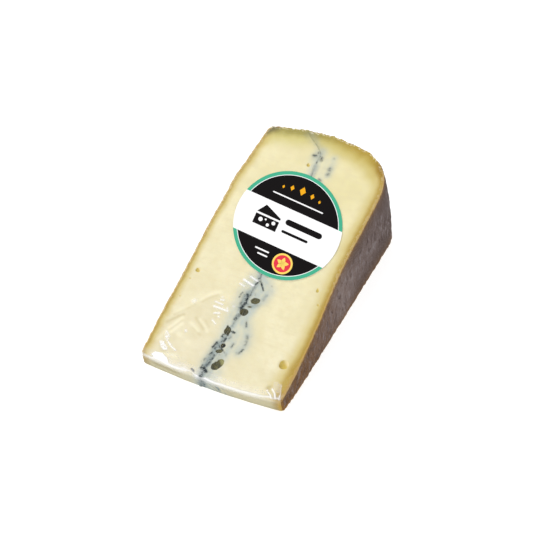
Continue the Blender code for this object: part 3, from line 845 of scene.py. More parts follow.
def make_half(name, side, materials):
    """One half of the cheese between the cut faces, with its eyes, rind and mould."""
    out_share = spaced(0, SPAN, ACROSS_STEPS, ACROSS_CELLS) / SPAN
    along = along_shares(ALONG_STEPS, ALONG_CELLS)
    level = crowded(UP_STEPS, 0.6)
    out = out_share if side > 0 else out_share[::-1]

    places, quads, kinds, _ = box_shell(ACROSS_STEPS, ALONG_STEPS, UP_STEPS)
    i, j, k = places.T
    angle = level * WEDGE_ANGLE

    def outline(s, gap, radius_from_axis):
        """The outline at each level, moved in near the rounded cut edges, which are crumbly."""
        height = np.minimum(angle, WEDGE_ANGLE - angle) * radius_from_axis
        crumbs = np.exp(-((height / CRUMB_REACH) ** 2))
        edge = np.where(angle < WEDGE_ANGLE / 2, LOWER_EDGE, PASTE_EDGE)
        return rough_outline(side, s, angle, gap, -side_inset(height, edge), crumbs=crumbs)

    gap = ash_half(np.full_like(angle, TIP_RADIUS), angle) + SEAM
    heel_gap = ash_half(np.full_like(angle, HEEL_RADIUS), angle) + SEAM
    to_outer = out[:, None]
    run = along[:, None]
    tip = outline(to_outer, gap, TIP_RADIUS)
    heel = outline(3 - to_outer, heel_gap, HEEL_RADIUS)
    radius_along = TIP_RADIUS + (HEEL_RADIUS - TIP_RADIUS) * run
    outer = outline(1 + run, gap, radius_along)
    inner_i = 0 if side > 0 else -1
    ash_r = tip[1][inner_i] + (heel[1][inner_i] - tip[1][inner_i]) * run
    inner = (ash_x(ash_r, angle) + side * (ash_half(ash_r, angle + 0 * run) + SEAM), ash_r)
    if side > 0:
        x, r = coons(tip, outer, heel, inner, out_share, along, places)
    else:
        x, r = coons(tip, inner, heel, outer, 1 - out_share[::-1], along, places)

    a = angle[k]
    top = k == UP_STEPS - 1
    bottom = k == 0
    height = np.minimum(a, WEDGE_ANGLE - a) * r
    edge = np.where(a < WEDGE_ANGLE / 2, LOWER_EDGE, PASTE_EDGE)
    shift = edge_shift(height, edge)
    inner_face = i == (0 if side > 0 else ACROSS_STEPS - 1)
    shift[inner_face] = 0
    edge_gaps = {}
    for name_of, line in (("tip", tip), ("side", outer), ("rim", heel)):
        values = np.full(len(x), NO_EDGE)
        for flat, level_of in ((top, -1), (bottom, 0)):
            values[flat] = distance_to((line[0][:, level_of], line[1][:, level_of]), x[flat], r[flat])
        edge_gaps[name_of] = values
    nearest = np.minimum(np.minimum(edge_gaps["tip"], edge_gaps["side"]), edge_gaps["rim"])
    shift = np.where(top | bottom, edge_drop(nearest, edge), shift)
    a = np.where(a > WEDGE_ANGLE / 2, a - shift / r, a + shift / r)

    points = in_space(x, r, a)
    grain = cut_grain(points)
    upper_deep, upper_gap, upper_facing = dents(x, r, UPPER_EYES, EYE_DEPTH, EYE_RAGGED)
    pit_deep = dents(x, r, ASH_PITS, PIT_DEPTH, PIT_RAGGED)[0]
    lower_deep, lower_gap, lower_facing = dents(x, r, LOWER_EYES, EYE_DEPTH, EYE_RAGGED)
    upper = np.where(top, np.maximum(upper_deep, pit_deep) + grain, 0)
    lower = np.where(bottom, lower_deep + grain, 0)
    points = points - upper[:, None] * CUT_NORMAL
    points[:, 2] += np.clip(lower, 0, None) + FLOOR_CLEAR * (1 - a / WEDGE_ANGLE)

    front = (j == 0) & ~top & ~bottom
    side_line = left_x(r, a) if side < 0 else right_x(r, a)
    edge_gaps["side"] = np.where(front, np.abs(x - side_line), edge_gaps["side"])
    edge_gaps["rim"] = np.where(front, NO_EDGE, edge_gaps["rim"])
    attributes = face_attributes(x, r, a, top, bottom, front)
    attributes["side_gap"] = edge_gaps["side"]
    attributes["rim_gap"] = edge_gaps["rim"]
    attributes["eye_gap"] = np.select([top, bottom], [upper_gap, lower_gap], NO_EYE)
    attributes["eye_facing"] = np.select([top, bottom], [upper_facing, lower_facing], 0.0)
    outer_kind, inner_kind = (HIGH_X, LOW_X) if side > 0 else (LOW_X, HIGH_X)
    slots = np.where(np.isin(kinds, (outer_kind, HEEL_END)), 1, 0)
    return make_piece(name, points, quads, slots, materials, attributes, parting=kinds == inner_kind)


def face_attributes(x, r, a, top, bottom, front):
    """Numbers for the shaders of paste and rind: places, mould, pits, and the film's folds, whose shade and
    highlights are painted on the paste.

    The lower cut face has the upper one's mould end for end.
    """
    other_end = TIP_RADIUS + HEEL_RADIUS - r
    low_x = x - ash_x(r, 0.0) + ash_x(other_end, WEDGE_ANGLE)
    depth = (WEDGE_ANGLE - a) * r
    tip = [strength * np.exp(-(((x - middle) / half) ** 2)) for middle, half, strength in TIP_MOULD]
    middle, half, strength, size = TIP_SMEARS
    smears = noise_at(in_space(x - 0.7 * depth, 0.4 * depth, 0 * x), size) + 0.2
    where = np.exp(-(((x - middle) / half) ** 2)) * smooth(depth, 0.8, 4.5)
    tip[1] += strength * np.clip(smears, 0, 1) * where
    kinds = zip(("haze", "cloud", "mark"), mould(x, r), mould(low_x, other_end), tip)
    attributes = {name: np.select([top, bottom, front], values, 0.0) for name, *values in kinds}
    _, pit_gap, pit_facing = dents(x, r, ASH_PITS, PIT_DEPTH, PIT_RAGGED, PIT_OPENS)
    attributes["pit_light"] = np.interp(r, *zip(*PIT_LIGHT))
    attributes["wheel_x"] = x
    attributes["wheel_r"] = r
    attributes["cut_gap"] = np.minimum(depth, a * r)
    attributes["depth"] = depth
    attributes["front_depth"] = np.where(front, depth, 0.0)
    for key, values in (
        ("slack", smooth(polygon_gap(x, r, SLACK), 1.2, -1.2)),
        ("shade", strokes(x, r, FOLD_SHADES)),
        ("glow", strokes(x, r, SOFT_FOLDS)),
        ("gold", smooth(polygon_gap(x, r, GOLD_PATCH), 0.5, -0.4)),
    ):
        attributes[key] = np.where(top, values, 0.0)
    attributes["pit_gap"] = np.where(top, pit_gap, NO_EYE)
    attributes["pit_facing"] = pit_facing
    return attributes


class Field:
    """A number that changes over a surface: a socket that can be reckoned with."""

    def __init__(self, tree, socket):
        self.tree = tree
        self.socket = socket

    def reckon(self, operation, *others):
        node = self.tree.nodes.new("ShaderNodeMath")
        node.operation = operation
        for slot, value in zip(node.inputs, (self, *others)):
            if isinstance(value, Field):
                self.tree.links.new(value.socket, slot)
            else:
                slot.default_value = value
        return Field(self.tree, node.outputs[0])

    def __add__(self, other):
        return self.reckon("ADD", other)

    def __sub__(self, other):
        return self.reckon("SUBTRACT", other)

    def __mul__(self, other):
        return self.reckon("MULTIPLY", other)

    def __truediv__(self, other):
        return self.reckon("DIVIDE", other)

    def most(self, other):
        return self.reckon("MAXIMUM", other)

    def size(self):
        return self.reckon("ABSOLUTE")

    def step(self, low, high):
        """0 at low, 1 at high, with a smooth step between. low may be the higher."""
        node = self.tree.nodes.new("ShaderNodeMapRange")
        node.interpolation_type = "SMOOTHSTEP"
        self.tree.links.new(self.socket, node.inputs["Value"])
        backwards = low > high
        node.inputs["From Min"].default_value = min(low, high)
        node.inputs["From Max"].default_value = max(low, high)
        node.inputs["To Min"].default_value = 1 if backwards else 0
        node.inputs["To Max"].default_value = 0 if backwards else 1
        return Field(self.tree, node.outputs["Result"])


def linear(red, green, blue):
    """A colour for a shader from its usual 0 to 255 values."""
    values = []
    for value in (red, green, blue):
        c = value / 255
        values.append(c / 12.92 if c <= 0.04045 else ((c + 0.055) / 1.055) ** 2.4)
    return (*values, 1)


class Surface:
    """A material in the making."""

    def __init__(self, name, roughness, specular):
        self.material = bpy.data.materials.new(name)
        self.material.use_nodes = True
        self.tree = self.material.node_tree
        self.shader = self.tree.nodes["Principled BSDF"]
        self.shader.inputs["Roughness"].default_value = roughness
        self.shader.inputs["Specular IOR Level"].default_value = specular
        self.colour = None

    def field(self, attribute):
        node = self.tree.nodes.new("ShaderNodeAttribute")
        node.attribute_name = attribute
        return Field(self.tree, node.outputs["Fac"])

    def place(self, stretch):
        """Object coordinates in millimetres, each divided by its stretch."""
        coordinates = self.tree.nodes.new("ShaderNodeTexCoord")
        scale = self.tree.nodes.new("ShaderNodeMapping")
        scale.inputs["Scale"].default_value = [1 / (MM * s) for s in stretch]
        self.tree.links.new(coordinates.outputs["Object"], scale.inputs["Vector"])
        return scale.outputs["Vector"]

    def noise(self, size, detail, stretch=(1, 1, 1), rough=0.5):
        """Noise from 0 to 1 with lumps of this size in millimetres."""
        node = self.tree.nodes.new("ShaderNodeTexNoise")
        node.inputs["Scale"].default_value = 1 / size
        node.inputs["Detail"].default_value = detail
        node.inputs["Roughness"].default_value = rough
        self.tree.links.new(self.place(stretch), node.inputs["Vector"])
        return Field(self.tree, node.outputs["Fac"])

    def mix(self, factor, first, second):
        """A colour between two, each a socket or usual values from 0 to 255."""
        node = self.tree.nodes.new("ShaderNodeMix")
        node.data_type = "RGBA"
        self.tree.links.new(factor.socket, node.inputs["Factor"])
        # Inputs 6 and 7 and output 2 are the ones for colours
        for value, slot in ((first, node.inputs[6]), (second, node.inputs[7])):
            if isinstance(value, tuple):
                slot.default_value = linear(*value)
            else:
                self.tree.links.new(value, slot)
        return node.outputs[2]

    def paint(self, factor, tone):
        """Lays a tone over the surface's colour so far, as far as the factor says."""
        self.colour = self.mix(factor, self.colour, tone)
        self.tree.links.new(self.colour, self.shader.inputs["Base Color"])

    def bump(self, field, distance, strength):
        """Bumps the surface by a field of heights; distance in millimetres."""
        node = self.tree.nodes.new("ShaderNodeBump")
        node.inputs["Distance"].default_value = distance * MM
        node.inputs["Strength"].default_value = strength
        self.tree.links.new(field.socket, node.inputs["Height"])
        self.tree.links.new(node.outputs["Normal"], self.shader.inputs["Normal"])


def cut_paste(name):
    """The cut paste, from its cream middle to the dark edge under the rind, with mould and eyes."""
    s = Surface(name, 0.5, 0.1)
    wander = s.noise(7, 2) * 2 - 1
    ragged = s.noise(1.3, 3) * 2 - 1
    x = s.field("wheel_x")
    along = s.field("wheel_r")
    right = (x + wander * 3).step(-14, 22)
    far_right = x.step(4, 9)
    warm = (along - 26) * 0.0061 + x.step(-8, 14) * 0.18 + wander * 0.05
    cream = s.mix(warm, (229, 222, 195), (227, 218, 172))
    deep = s.mix(warm, (221, 213, 183), (220, 210, 159))
    s.colour = cream
    s.paint(s.noise(16, 2).step(0.3, 0.7), deep)
    streak = s.noise(1.0, 3, stretch=(16, 1.3, 1.3)).step(0.5, 0.75) * 0.3
    s.paint(streak, (214, 202, 164))
    blotch = s.noise(4.0, 4, rough=0.6).step(0.42, 0.68) * 0.3
    s.paint(blotch, (214, 203, 165))
    curd = s.noise(1.6, 2).step(0.5, 0.62) * 0.12
    s.paint(curd, (210, 199, 162))
    # Painted greying where the film stands off, and painted shade beside the film's folds
    s.paint(s.field("slack") * 0.3, (208, 197, 164))
    s.paint(s.field("shade") * 0.75, (194, 180, 136))

    # Darker and warmer towards the rind and the corners, with pale crumbs by the edge
    side = s.field("side_gap")
    rim = s.field("rim_gap")
    narrow = along.step(65, 85) * along.step(125, 105)
    reach = far_right * 3.0 + along.step(58, 42) * far_right * 3.0 - narrow + 5.5
    side_share = (side + wander * 0.7) / reach
    rim_soft = rim + wander * 1.3
    outer_tone = s.mix(right, (200, 190, 122), (194, 177, 102))
    s.paint(rim_soft.step(13, 3.5), outer_tone)
    near_side = s.mix(far_right, (198, 179, 110), (202, 185, 122))
    s.paint(side_share.step(1.0, 0.2), near_side)
    rim_tone = s.mix(right, (154, 144, 80), (170, 144, 60))
    s.paint(rim_soft.step(6.0, 1.0), rim_tone)
    side_tone = s.mix(far_right, (171, 146, 78), (172, 144, 68))
    s.paint(side_share.step(0.45, 0.1), side_tone)
    corner = (side + rim + wander).step(8.5, 1.5)
    s.paint(corner, s.mix(far_right, (108, 102, 72), (150, 118, 44)))
    s.paint(s.field("gold") * (ragged * 0.3 + 0.8), (182, 158, 86))
    skin_tone = s.mix(far_right * along.step(100, 75), (188, 160, 102), (188, 155, 88))
    s.paint((side + ragged * 0.3).step(0.8, 0.2), skin_tone)
    rim_crumbs = (rim + ragged * 0.9).step(1.3, 0.5)
    side_crumbs = ((side - 0.9).size() + ragged * 0.5).step(0.6, 0.1) * along.step(88, 98)
    left_crumbs = (side + ragged * 0.6).step(0.9, 0.2) * x.step(4, -4)
    crumbs = rim_crumbs.most(side_crumbs * 0.4).most(left_crumbs * 0.6) * s.noise(0.9, 3).step(0.47, 0.58)
    s.paint(crumbs * 0.75, (226, 216, 184))

    # The cut tip: painted shade low down, a painted shadow under the film's fold and painted shade along the
    # floor; then the film's soft folds as painted highlights
    depth = s.field("front_depth")
    shade_low_down = depth.step(0.4, 3.4)
    s.paint(shade_low_down * 0.88, (182, 175, 143))
    # Painted shadow under the film's fold on the tip
    band = depth.step(2.8, 4.2) * depth.step(6.4, 5.0) * x.step(-13, -20) * x.step(-34, -29)
    s.paint(band * 0.55, (148, 138, 100))
    # Browner by the rind low on the tip: the paste's ochre, with painted shade
    s.paint(shade_low_down * (side + wander).step(6, 2) * 0.6, (152, 122, 50))
    # Painted shade along the floor
    s.paint((depth + wander * 0.6).step(6.0, 8.2) * 0.4, (156, 150, 124))
    golden = depth.step(0.4, 1.6) * far_right * (side + ragged * 0.3).step(3.2, 0.8)
    s.paint(golden * 0.75, (178, 144, 54))
    # Painted highlights of the film's soft folds
    s.paint(s.field("glow") * 0.7, (240, 234, 205))

    # Mould, eyes and pits
    haze = s.field("haze") * (s.noise(3.0, 4, rough=0.6) * 1.3 + 0.38)
    s.paint(haze, (182, 189, 180))
    lump = s.noise(1.8, 2) - 0.5
    grain = s.noise(0.7, 2) - 0.5
    cloud = s.field("cloud") * (lump * 1.4 + grain * 0.8 + 0.95)
    s.paint(cloud, (130, 141, 140))
    mark = s.field("mark") * (grain * 2.2 + lump * 1.5 + 1.02)
    specks = (cloud * 0.55 + grain * 2.4 + lump - 0.62).step(0.0, 0.4) * 0.6
    s.paint(mark.most(specks).step(0.0, 0.9), (42, 51, 54))
    # Eyes in their own ochre, painted darker on the side away from the light and paler on the side it comes
    # to: painted shade and light
    facing = s.field("eye_facing")
    eye_tone = s.mix(facing.step(-0.9, -0.2), (172, 148, 60), (194, 170, 76))
    eye_tone = s.mix(facing.step(0.0, 0.8), eye_tone, (224, 208, 158))
    eye_tone = s.mix(along.step(40, 36) * 0.9, eye_tone, (212, 200, 156))
    eye_share = s.field("eye_gap").step(0.15, -0.25) * 0.9
    s.paint(eye_share, eye_tone)
    pit_tone = s.mix(s.field("pit_light"), (44, 48, 44), (92, 90, 66))
    pit_tone = s.mix(s.noise(1.4, 1).step(0.45, 0.65) * 0.35, pit_tone, (104, 94, 52))
    # Painted light on the side of the pits that the light comes to
    lit_side_of_pits = s.field("pit_facing").step(-0.1, 0.9) * along.step(46, 38) * 0.9
    pit_tone = s.mix(lit_side_of_pits, pit_tone, (150, 148, 98))
    pit_gap = s.field("pit_gap") + ragged * 0.12
    pit_tone = s.mix(pit_gap.step(-0.5, 0.0) * 0.2, pit_tone, (50, 50, 38))
    s.paint(pit_gap.step(0.2, -0.2), pit_tone)

    # Fine knife marks, and a little light let through
    knife = s.noise(1.0, 2, stretch=(14, 1.1, 1.1))
    height = s.noise(0.7, 3) * 0.4 + knife * 0.6
    s.bump(height, 0.12, 0.5)
    s.shader.inputs["Subsurface Weight"].default_value = 0.12
    s.shader.inputs["Subsurface Radius"].default_value = (1.0, 0.75, 0.4)
    s.shader.inputs["Subsurface Scale"].default_value = 1.6 * MM
    return s.material


def rind_skin(name):
    """The washed rind, brown by the tip to purple-grey by the heel.

    It has pale streaks, partly the film's sheen painted on, and its cut edge is orange.
    """
    s = Surface(name, 0.7, 0.08)
    mottle = s.noise(6, 4, rough=0.6) - 0.5
    r = s.field("wheel_r") + mottle * 36
    s.colour = (108, 76, 46)
    s.paint(r.step(45, 80), (108, 86, 74))
    s.paint(r.step(78, 96), (118, 102, 96))
    s.paint(r.step(100, 124), (102, 87, 83))
    s.paint(r.step(126, 148), (86, 72, 68))
    # Pale streaks, partly the film's painted sheen
    streaks_and_sheen = s.noise(2.2, 4, stretch=(1, 1, 2.4), rough=0.65)
    s.paint(streaks_and_sheen.step(0.5, 0.64) * 0.65, (134, 123, 122))
    dusk = s.noise(2.8, 4, stretch=(1, 1, 2), rough=0.65)
    s.paint(dusk.step(0.48, 0.36) * 0.7, (64, 46, 42))
    pores = s.noise(0.9, 3)
    s.paint(pores.step(0.42, 0.32) * 0.5, (56, 42, 38))
    ragged = s.noise(1.5, 3) * 2 - 1
    edge = s.field("cut_gap") + ragged * 0.6
    far = s.field("wheel_r")
    s.paint(s.field("cut_gap").step(16, 5) * far.step(98, 115) * 0.7, (80, 63, 56))
    s.paint(edge.step(9, 2) * 0.4, (100, 74, 50))
    s.paint(edge.step(3.6, 0.6) * 0.6, (116, 84, 50))
    orange = s.mix(far.step(47, 60), (190, 158, 100), (160, 122, 66))
    orange = s.mix(far.step(65, 95), orange, (168, 132, 78))
    orange = s.mix(s.field("depth").step(3, 6), orange, (140, 100, 52))
    s.paint((edge - far.step(56, 44)).step(1.1, 0.1) * 0.95, orange)
    s.paint((far + ragged * 0.3).step(32.6, 30.8) * 0.7, (132, 94, 38))
    flecks = s.noise(1.0, 2).step(0.56, 0.64) * s.field("cut_gap").step(1.3, 0.2)
    s.paint(flecks * 0.6, (200, 186, 152))
    height = s.noise(1.4, 4, rough=0.6) + mottle
    s.bump(height, 0.45, 0.7)
    return s.material


def clear_film(name):
    """Clear shrink film: what is behind shows through, its surface shines, and its creases are white, partly
    from crumpling and partly as painted highlights and glare.
    """
    s = Surface(name, 0.5, 0.2)
    tree = s.tree
    tree.nodes.remove(s.shader)
    clear = tree.nodes.new("ShaderNodeBsdfTransparent")
    shine = tree.nodes.new("ShaderNodeBsdfGlossy")
    shine.inputs["Roughness"].default_value = 0.2
    shiny = tree.nodes.new("ShaderNodeMixShader")
    shiny.inputs[0].default_value = FILM_SHINE
    tree.links.new(clear.outputs[0], shiny.inputs[1])
    tree.links.new(shine.outputs[0], shiny.inputs[2])
    # White diffuse: the crumpled film's own whiteness, with painted highlights and glare
    white = tree.nodes.new("ShaderNodeBsdfDiffuse")
    white.inputs["Color"].default_value = (1, 1, 1, 1)
    bubbles = s.noise(0.5, 0).step(0.6, 0.68) * s.field("bubbles")
    haze = s.field("haze").most(bubbles)
    creases_and_highlights = tree.nodes.new("ShaderNodeMixShader")
    tree.links.new(haze.socket, creases_and_highlights.inputs[0])
    tree.links.new(shiny.outputs[0], creases_and_highlights.inputs[1])
    tree.links.new(white.outputs[0], creases_and_highlights.inputs[2])
    tree.links.new(creases_and_highlights.outputs[0], tree.nodes["Material Output"].inputs["Surface"])
    return s.material


def plain(name, colour, roughness):
    s = Surface(name, roughness, 0.05)
    s.shader.inputs["Base Color"].default_value = linear(*colour)
    return s.material


def make_ash(name, materials):
    """The ash layer between the halves, which shows on every cut face."""
    across = np.linspace(-1, 1, ASH_ACROSS_STEPS)
    along = along_shares(ALONG_STEPS, ALONG_CELLS)
    level = crowded(ASH_UP_STEPS, 0.5)
    places, quads, kinds, _ = box_shell(len(across), len(along), len(level))
    i, j, k = places.T
    angle = level * WEDGE_ANGLE
    a = angle[k]
    tip_gap = ash_half(np.full_like(angle, TIP_RADIUS), angle)
    heel_gap = ash_half(np.full_like(angle, HEEL_RADIUS), angle)
    ends = []
    for side in (-1, 1):
        tip = rough_outline(side, np.zeros_like(angle), angle, tip_gap)
        heel = rough_outline(side, np.full_like(angle, 3.0), angle, heel_gap)
        ends.append((tip[1], heel[1]))
    t = (across[i] + 1) / 2
    low = ends[0][0][k] * (1 - t) + ends[1][0][k] * t
    high = ends[0][1][k] * (1 - t) + ends[1][1][k] * t
    r = low + (high - low) * along[j]
    overlap = ASH_RIND_OVERLAP * smooth(along[j], 0.985, 1)
    x = ash_x(r, a) + across[i] * (ash_half(r, a) + overlap)
    top = k == len(level) - 1
    bottom = k == 0
    points = in_space(x, r, a)
    pit_deep = dents(x, r, ASH_PITS, PIT_DEPTH, PIT_RAGGED)[0]
    grain = cut_grain(points)
    points = points - np.where(top, pit_deep + grain, 0)[:, None] * CUT_NORMAL
    points[:, 2] += np.where(bottom, np.clip(grain, 0, None), 0) + FLOOR_CLEAR * (1 - a / WEDGE_ANGLE)
    front = (j == 0) & ~top & ~bottom
    attributes = face_attributes(x, r, a, top, bottom, front)
    attributes["side_gap"] = np.full_like(x, NO_EDGE)
    attributes["rim_gap"] = np.where(top | bottom, high - r, NO_EDGE)
    attributes["eye_gap"] = np.full_like(x, NO_EYE)
    attributes["eye_facing"] = np.zeros_like(x)
    slots = np.where(kinds == HEEL_END, 1, 0)
    beside_paste = np.isin(kinds, (LOW_X, HIGH_X))
    return make_piece(name, points, quads, slots, materials, attributes, parting=beside_paste)


def film_wrinkles(x, r):
    """How far the film stands off the upper cut face, and how white its creases are, with painted glints and
    glare.
    """
    white = strokes(x, r, FILM_FOLDS)
    height = FOLD_RISE * white + SOFT_RISE * strokes(x, r, SOFT_FOLDS)
    flat = np.stack([x, r, np.zeros_like(x)], -1)
    for whiteness, speckled, corners in FILM_PATCHES:
        gap = polygon_gap(x, r, corners)
        near = gap < 1.5
        folds = noise_at(flat[near], 1.6)
        specks = noise_at(flat[near], 0.8)
        inside = smooth(gap[near] + 0.4 * folds, 0.4, -0.5)
        height[near] = np.maximum(height[near], 0.3 * smooth(gap[near], 0.8, -0.8) + 0.15 * specks)
        white[near] = np.maximum(white[near], whiteness * inside * (1 + speckled * (specks + 0.4 * folds)))
    return np.clip(height, 0, None), np.clip(white, 0, 1)


def make_film(name, material):
    """The shrink film: one closed skin round the whole wedge."""
    across = (spaced(-SPAN, SPAN, FILM_ACROSS_STEPS, FILM_ACROSS_CELLS) + SPAN) / (2 * SPAN)
    along = along_shares(FILM_ALONG_STEPS, FILM_ALONG_CELLS)
    level = crowded(FILM_UP_STEPS, 0.75)
    places, quads, _, floor = box_shell(len(across), len(along), len(level), plain_floor=True)
    i, j, k = places.T
    angle = level * WEDGE_ANGLE
    run = along[:, None]
    radius_along = TIP_RADIUS + (HEEL_RADIUS - TIP_RADIUS) * run
    none = np.zeros_like(angle)

    def out_at(radius_from_axis):
        return FILM_SIDE_LIFT - side_inset((WEDGE_ANGLE - angle) * radius_from_axis, FILM_EDGE)

    def across_line(start, direction, out):
        halves = []
        for side, shares in ((-1, 1 - 2 * across[across < 0.5]), (1, 2 * across[across >= 0.5] - 1)):
            s = start + direction * shares[:, None]
            halves.append(rough_outline(side, s, angle, none, out, FILM_RELIEF))
        return tuple(np.concatenate([left, right]) for left, right in zip(*halves))

    tip = across_line(0, 1, out_at(TIP_RADIUS))
    heel = across_line(3, -1, out_at(HEEL_RADIUS))
    left, right = (
        rough_outline(side, 1 + run, angle, none, out_at(radius_along), FILM_RELIEF) for side in (-1, 1)
    )
    x, r = coons(tip, right, heel, left, across, along, places)
    a = angle[k]
    top = k == len(level) - 1
    nearest = np.full(len(x), NO_EDGE)
    for line in (tip, heel, left, right):
        to = distance_to((line[0][:, -1], line[1][:, -1]), x[top], r[top])
        nearest[top] = np.minimum(nearest[top], to)
    depth = (WEDGE_ANGLE - a) * r
    shift = np.where(top, edge_drop(nearest, FILM_EDGE), edge_shift(depth, FILM_EDGE))
    a = a - shift / r
    points = in_space(x, r, a)
    height, white = film_wrinkles(x, r)
    wrinkle = np.where(top, height * smooth(nearest, 0, 1.5), 0)
    points = points + ((FILM_LIFT * a / WEDGE_ANGLE + wrinkle)[:, None]) * CUT_NORMAL
    points[:, 2] += FILM_FLOOR * (1 - a / WEDGE_ANGLE)

    # Whiteness, mostly painted highlights and glare: folds and patches, the highlight line and the sheen
    # along the front edge, and the sheen below it
    behind = np.where(top, r - tip_r(x, WEDGE_ANGLE), -depth)
    front = (j == 0) & ~top
    at_x, *columns = zip(*EDGE_HIGHLIGHT)
    back, half, whiteness = (np.interp(x, at_x, column) for column in columns)
    wobble = 0.2 * noise_at(in_space(x, 0 * x, 0 * a), 4)
    line = whiteness * np.exp(-(((behind - back + wobble) / half) ** 2)) * 0.92
    top_sheen = np.interp(x, *zip(*EDGE_TOP_SHEEN)) * smooth(behind, 4.8, 0.8) * (1 + 0.5 * noise_at(points, 1.5))
    white = 1 - (1 - white) * (1 - top_sheen)
    # The film's whiteness: crumpled film, and painted highlights and glare
    haze = np.where(top, np.maximum(white, line), np.where(front, line, 0))
    sheen = np.interp(x, *zip(*EDGE_SHEEN)) * smooth(depth, 4.1, 0.6)
    haze = np.where(front, np.maximum(haze, sheen), haze)
    bubbles_at = np.interp(x, *zip(*BUBBLE_LINE))
    dotted = np.exp(-(((behind - bubbles_at) / 0.9) ** 2)) * smooth(x, -27, -24) * smooth(x, 30, 26)
    bubbles = np.where(top, 0.4 * dotted, 0)
    faces = [*quads, floor]
    attributes = {"haze": haze, "bubbles": bubbles}
    return make_piece(name, points, faces, np.zeros(len(faces)), [material], attributes)


class Page:
    """Flat shapes printed on the label, in shares of its radius, with the print upright."""

    def __init__(self):
        self.points = []
        self.faces = []
        self.kinds = []

    def slab(self, outline, low, high, kind):
        """A thin slab with this outline, given anticlockwise."""
        start = len(self.points)
        count = len(outline)
        self.points += [(p, q, low) for p, q in outline] + [(p, q, high) for p, q in outline]
        self.faces.append([start + i for i in reversed(range(count))])
        self.faces.append([start + count + i for i in range(count)])
        for i in range(count):
            after = (i + 1) % count
            self.faces.append([start + i, start + after, start + count + after, start + count + i])
        self.kinds += [kind] * (count + 2)

    def ink(self, outline, kind, layer=1):
        self.slab(outline, LABEL_TOP - INK_SUNK, LABEL_TOP + INK_LAYER * layer, kind)

    def in_space(self):
        """The points in millimetres about the wheel's axis."""
        p, q, height = np.array(self.points).T
        long, short = turned(p, q, PRINT_TURN)
        dx, dr = turned(LABEL_LONG_RADIUS * long, LABEL_SHORT_RADIUS * short, LABEL_TURN)
        cut_face = np.full_like(dx, WEDGE_ANGLE)
        return in_space(LABEL_X + dx, LABEL_R + dr, cut_face) + height[:, None] * CUT_NORMAL


def arc(p, q, radius, start, end, count):
    """Points on an arc, from one angle to another, in degrees."""
    return [
        (p + radius * math.cos(math.radians(a)), q + radius * math.sin(math.radians(a)))
        for a in np.linspace(start, end, count)
    ]


def rim_arc(radius, edge, above):
    """The part of a circle about the label's middle that lies above or below a level edge."""
    turn = math.degrees(math.asin(edge / radius))
    start, end = (turn, 180 - turn) if above else (-180 - turn, turn)
    return arc(0, 0, radius, start, end, 64)


def disc(p, q, radius, count=48):
    """A whole circle."""
    return arc(p, q, radius, 0, 360 - 360 / count, count)


def bar(p, q, half_length, half_height):
    """A bar with round ends."""
    reach = half_length - half_height
    return arc(p + reach, q, half_height, -90, 90, 9) + arc(p - reach, q, half_height, 90, 270, 9)


def petal(p, q, length, half_width, turn):
    """A leaf that points away from (p, q), with a pointed end."""
    shape = []
    for t in np.linspace(0, 1, 9):
        shape.append((length * t, -half_width * math.sin(math.pi * t**0.8)))
    for t in np.linspace(1, 0, 9)[1:-1]:
        shape.append((length * t, half_width * math.sin(math.pi * t**0.8)))
    placed = [turned(u, v, math.radians(turn)) for u, v in shape]
    return [(p + u, q + v) for u, v in placed]


def make_label(name, materials):
    """An oval label that looks round in the photograph's view, with plain motifs.

    Dark fields with a green rim lie above and below its white band.
    """
    white, black, green, orange, red, yellow = range(len(INKS))
    page = Page()
    page.slab(disc(0, 0, 1, 144), LABEL_BOTTOM, LABEL_TOP, white)
    for edge, above in ((BAND_TOP, True), (BAND_FOOT, False)):
        page.ink(rim_arc(1, edge, above) + rim_arc(RIM_INNER, edge, above)[::-1], green)
        page.ink(rim_arc(FIELD_RADIUS, edge, above), black)

    # Above: a row of lozenges over a thin line
    lozenges = (
        (0, 0.68, 0.085), (-0.2, 0.66, 0.055), (0.2, 0.66, 0.055), (-0.36, 0.62, 0.035), (0.36, 0.62, 0.035),
    )
    for p, q, size in lozenges:
        page.ink([(p - size * 0.7, q), (p, q - size), (p + size * 0.7, q), (p, q + size)], orange, 2)
    page.ink(bar(0, 0.46, 0.5, 0.012), white, 2)

    # On the band: a wedge of cheese with its eyes, and two plain bars
    page.ink([(-0.62, -0.21), (-0.16, -0.21), (-0.16, -0.02), (-0.62, -0.02)], black)
    page.ink([(-0.62, 0.015), (-0.16, 0.015), (-0.16, 0.05), (-0.5, 0.19)], black)
    eyes = ((-0.5, -0.1, 0.04), (-0.34, -0.15, 0.03), (-0.25, -0.08, 0.035), (-0.41, -0.07, 0.018))
    for p, q, size in eyes:
        page.ink(disc(p, q, size, 24), white, 2)
    page.ink(bar(0.3, 0.05, 0.36, 0.055), black)
    page.ink(bar(0.2, -0.14, 0.26, 0.025), black)

    # Below: a flower on a round field
    page.ink(disc(0.2, -0.68, 0.19), yellow, 2)
    page.ink(disc(0.2, -0.68, 0.155), red, 3)
    for turn in range(0, 360, 72):
        page.ink(petal(0.2, -0.68, 0.12, 0.035, turn + 18), yellow, 4)
    page.ink(bar(-0.24, -0.6, 0.14, 0.014), white, 2)
    page.ink(bar(-0.2, -0.68, 0.1, 0.014), white, 2)
    return make_piece(name, page.in_space(), page.faces, page.kinds, materials, {}, 30)


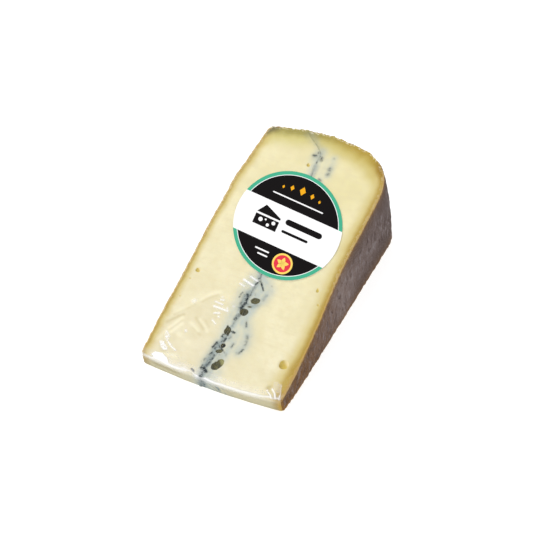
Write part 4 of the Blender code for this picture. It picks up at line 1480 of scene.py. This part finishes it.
def make_camera():
    """The camera, at the photograph's viewing angle."""
    back = Vector((
        math.sin(CAMERA_AZIMUTH) * math.cos(CAMERA_ELEVATION),
        -math.cos(CAMERA_AZIMUTH) * math.cos(CAMERA_ELEVATION),
        math.sin(CAMERA_ELEVATION),
    ))
    data = bpy.data.cameras.new("camera")
    data.sensor_width = SENSOR_WIDTH
    data.lens = SENSOR_WIDTH * FOCAL_LENGTH_PX / PHOTO_WIDTH_PX
    data.clip_start = 0.05
    data.clip_end = 20
    camera = bpy.data.objects.new("camera", data)
    bpy.context.scene.collection.objects.link(camera)
    camera.location = (Vector(CAMERA_AIM) + back * CAMERA_DISTANCE) * MM + wheel_axis
    camera.rotation_mode = "QUATERNION"
    camera.rotation_quaternion = (-back).to_track_quat("-Z", "Y")
    bpy.context.scene.camera = camera


def make_light(name, direction, distance, size, power):
    data = bpy.data.lights.new(name, "AREA")
    data.shape = "SQUARE"
    data.size = size
    data.energy = power
    light = bpy.data.objects.new(name, data)
    bpy.context.scene.collection.objects.link(light)
    towards = Vector(direction).normalized()
    light.location = towards * distance
    light.rotation_mode = "QUATERNION"
    light.rotation_quaternion = towards.to_track_quat("Z", "Y")


def make_stage():
    """A plain pale floor, soft lights and a pale surround."""
    bpy.ops.mesh.primitive_plane_add(size=FLOOR_SIZE, location=(0, 0, 0))
    floor = bpy.context.object
    floor.name = "floor"
    s = Surface("floor_white", 0.9, 0.0)
    s.shader.inputs["Base Color"].default_value = (FLOOR_GREY, FLOOR_GREY, FLOOR_GREY, 1)
    s.shader.inputs["Emission Color"].default_value = (1, 1, 1, 1)
    s.shader.inputs["Emission Strength"].default_value = FLOOR_GLOW
    floor.data.materials.append(s.material)

    world = bpy.data.worlds.new("pale_surround")
    world.use_nodes = True
    background = world.node_tree.nodes["Background"]
    background.inputs["Color"].default_value = (1, 1, 1, 1)
    background.inputs["Strength"].default_value = SURROUND_STRENGTH
    bpy.context.scene.world = world

    for light in LIGHTS:
        make_light(*light)
    bpy.context.scene.view_settings.view_transform = "Standard"


make_camera()
make_stage()

paste = cut_paste("paste")
rind = rind_skin("rind")
film_clear = clear_film("film")

left = make_half("cheese_left", -1, [paste, rind])
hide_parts("paste_left")
right = make_half("cheese_right", 1, [paste, rind])
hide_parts("paste_right")
ash = make_ash("ash", [paste, rind])
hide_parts("ash_layer")
film = make_film("film", film_clear)
label = make_label("label_disc", [plain(*ink) for ink in INKS])
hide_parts("label")
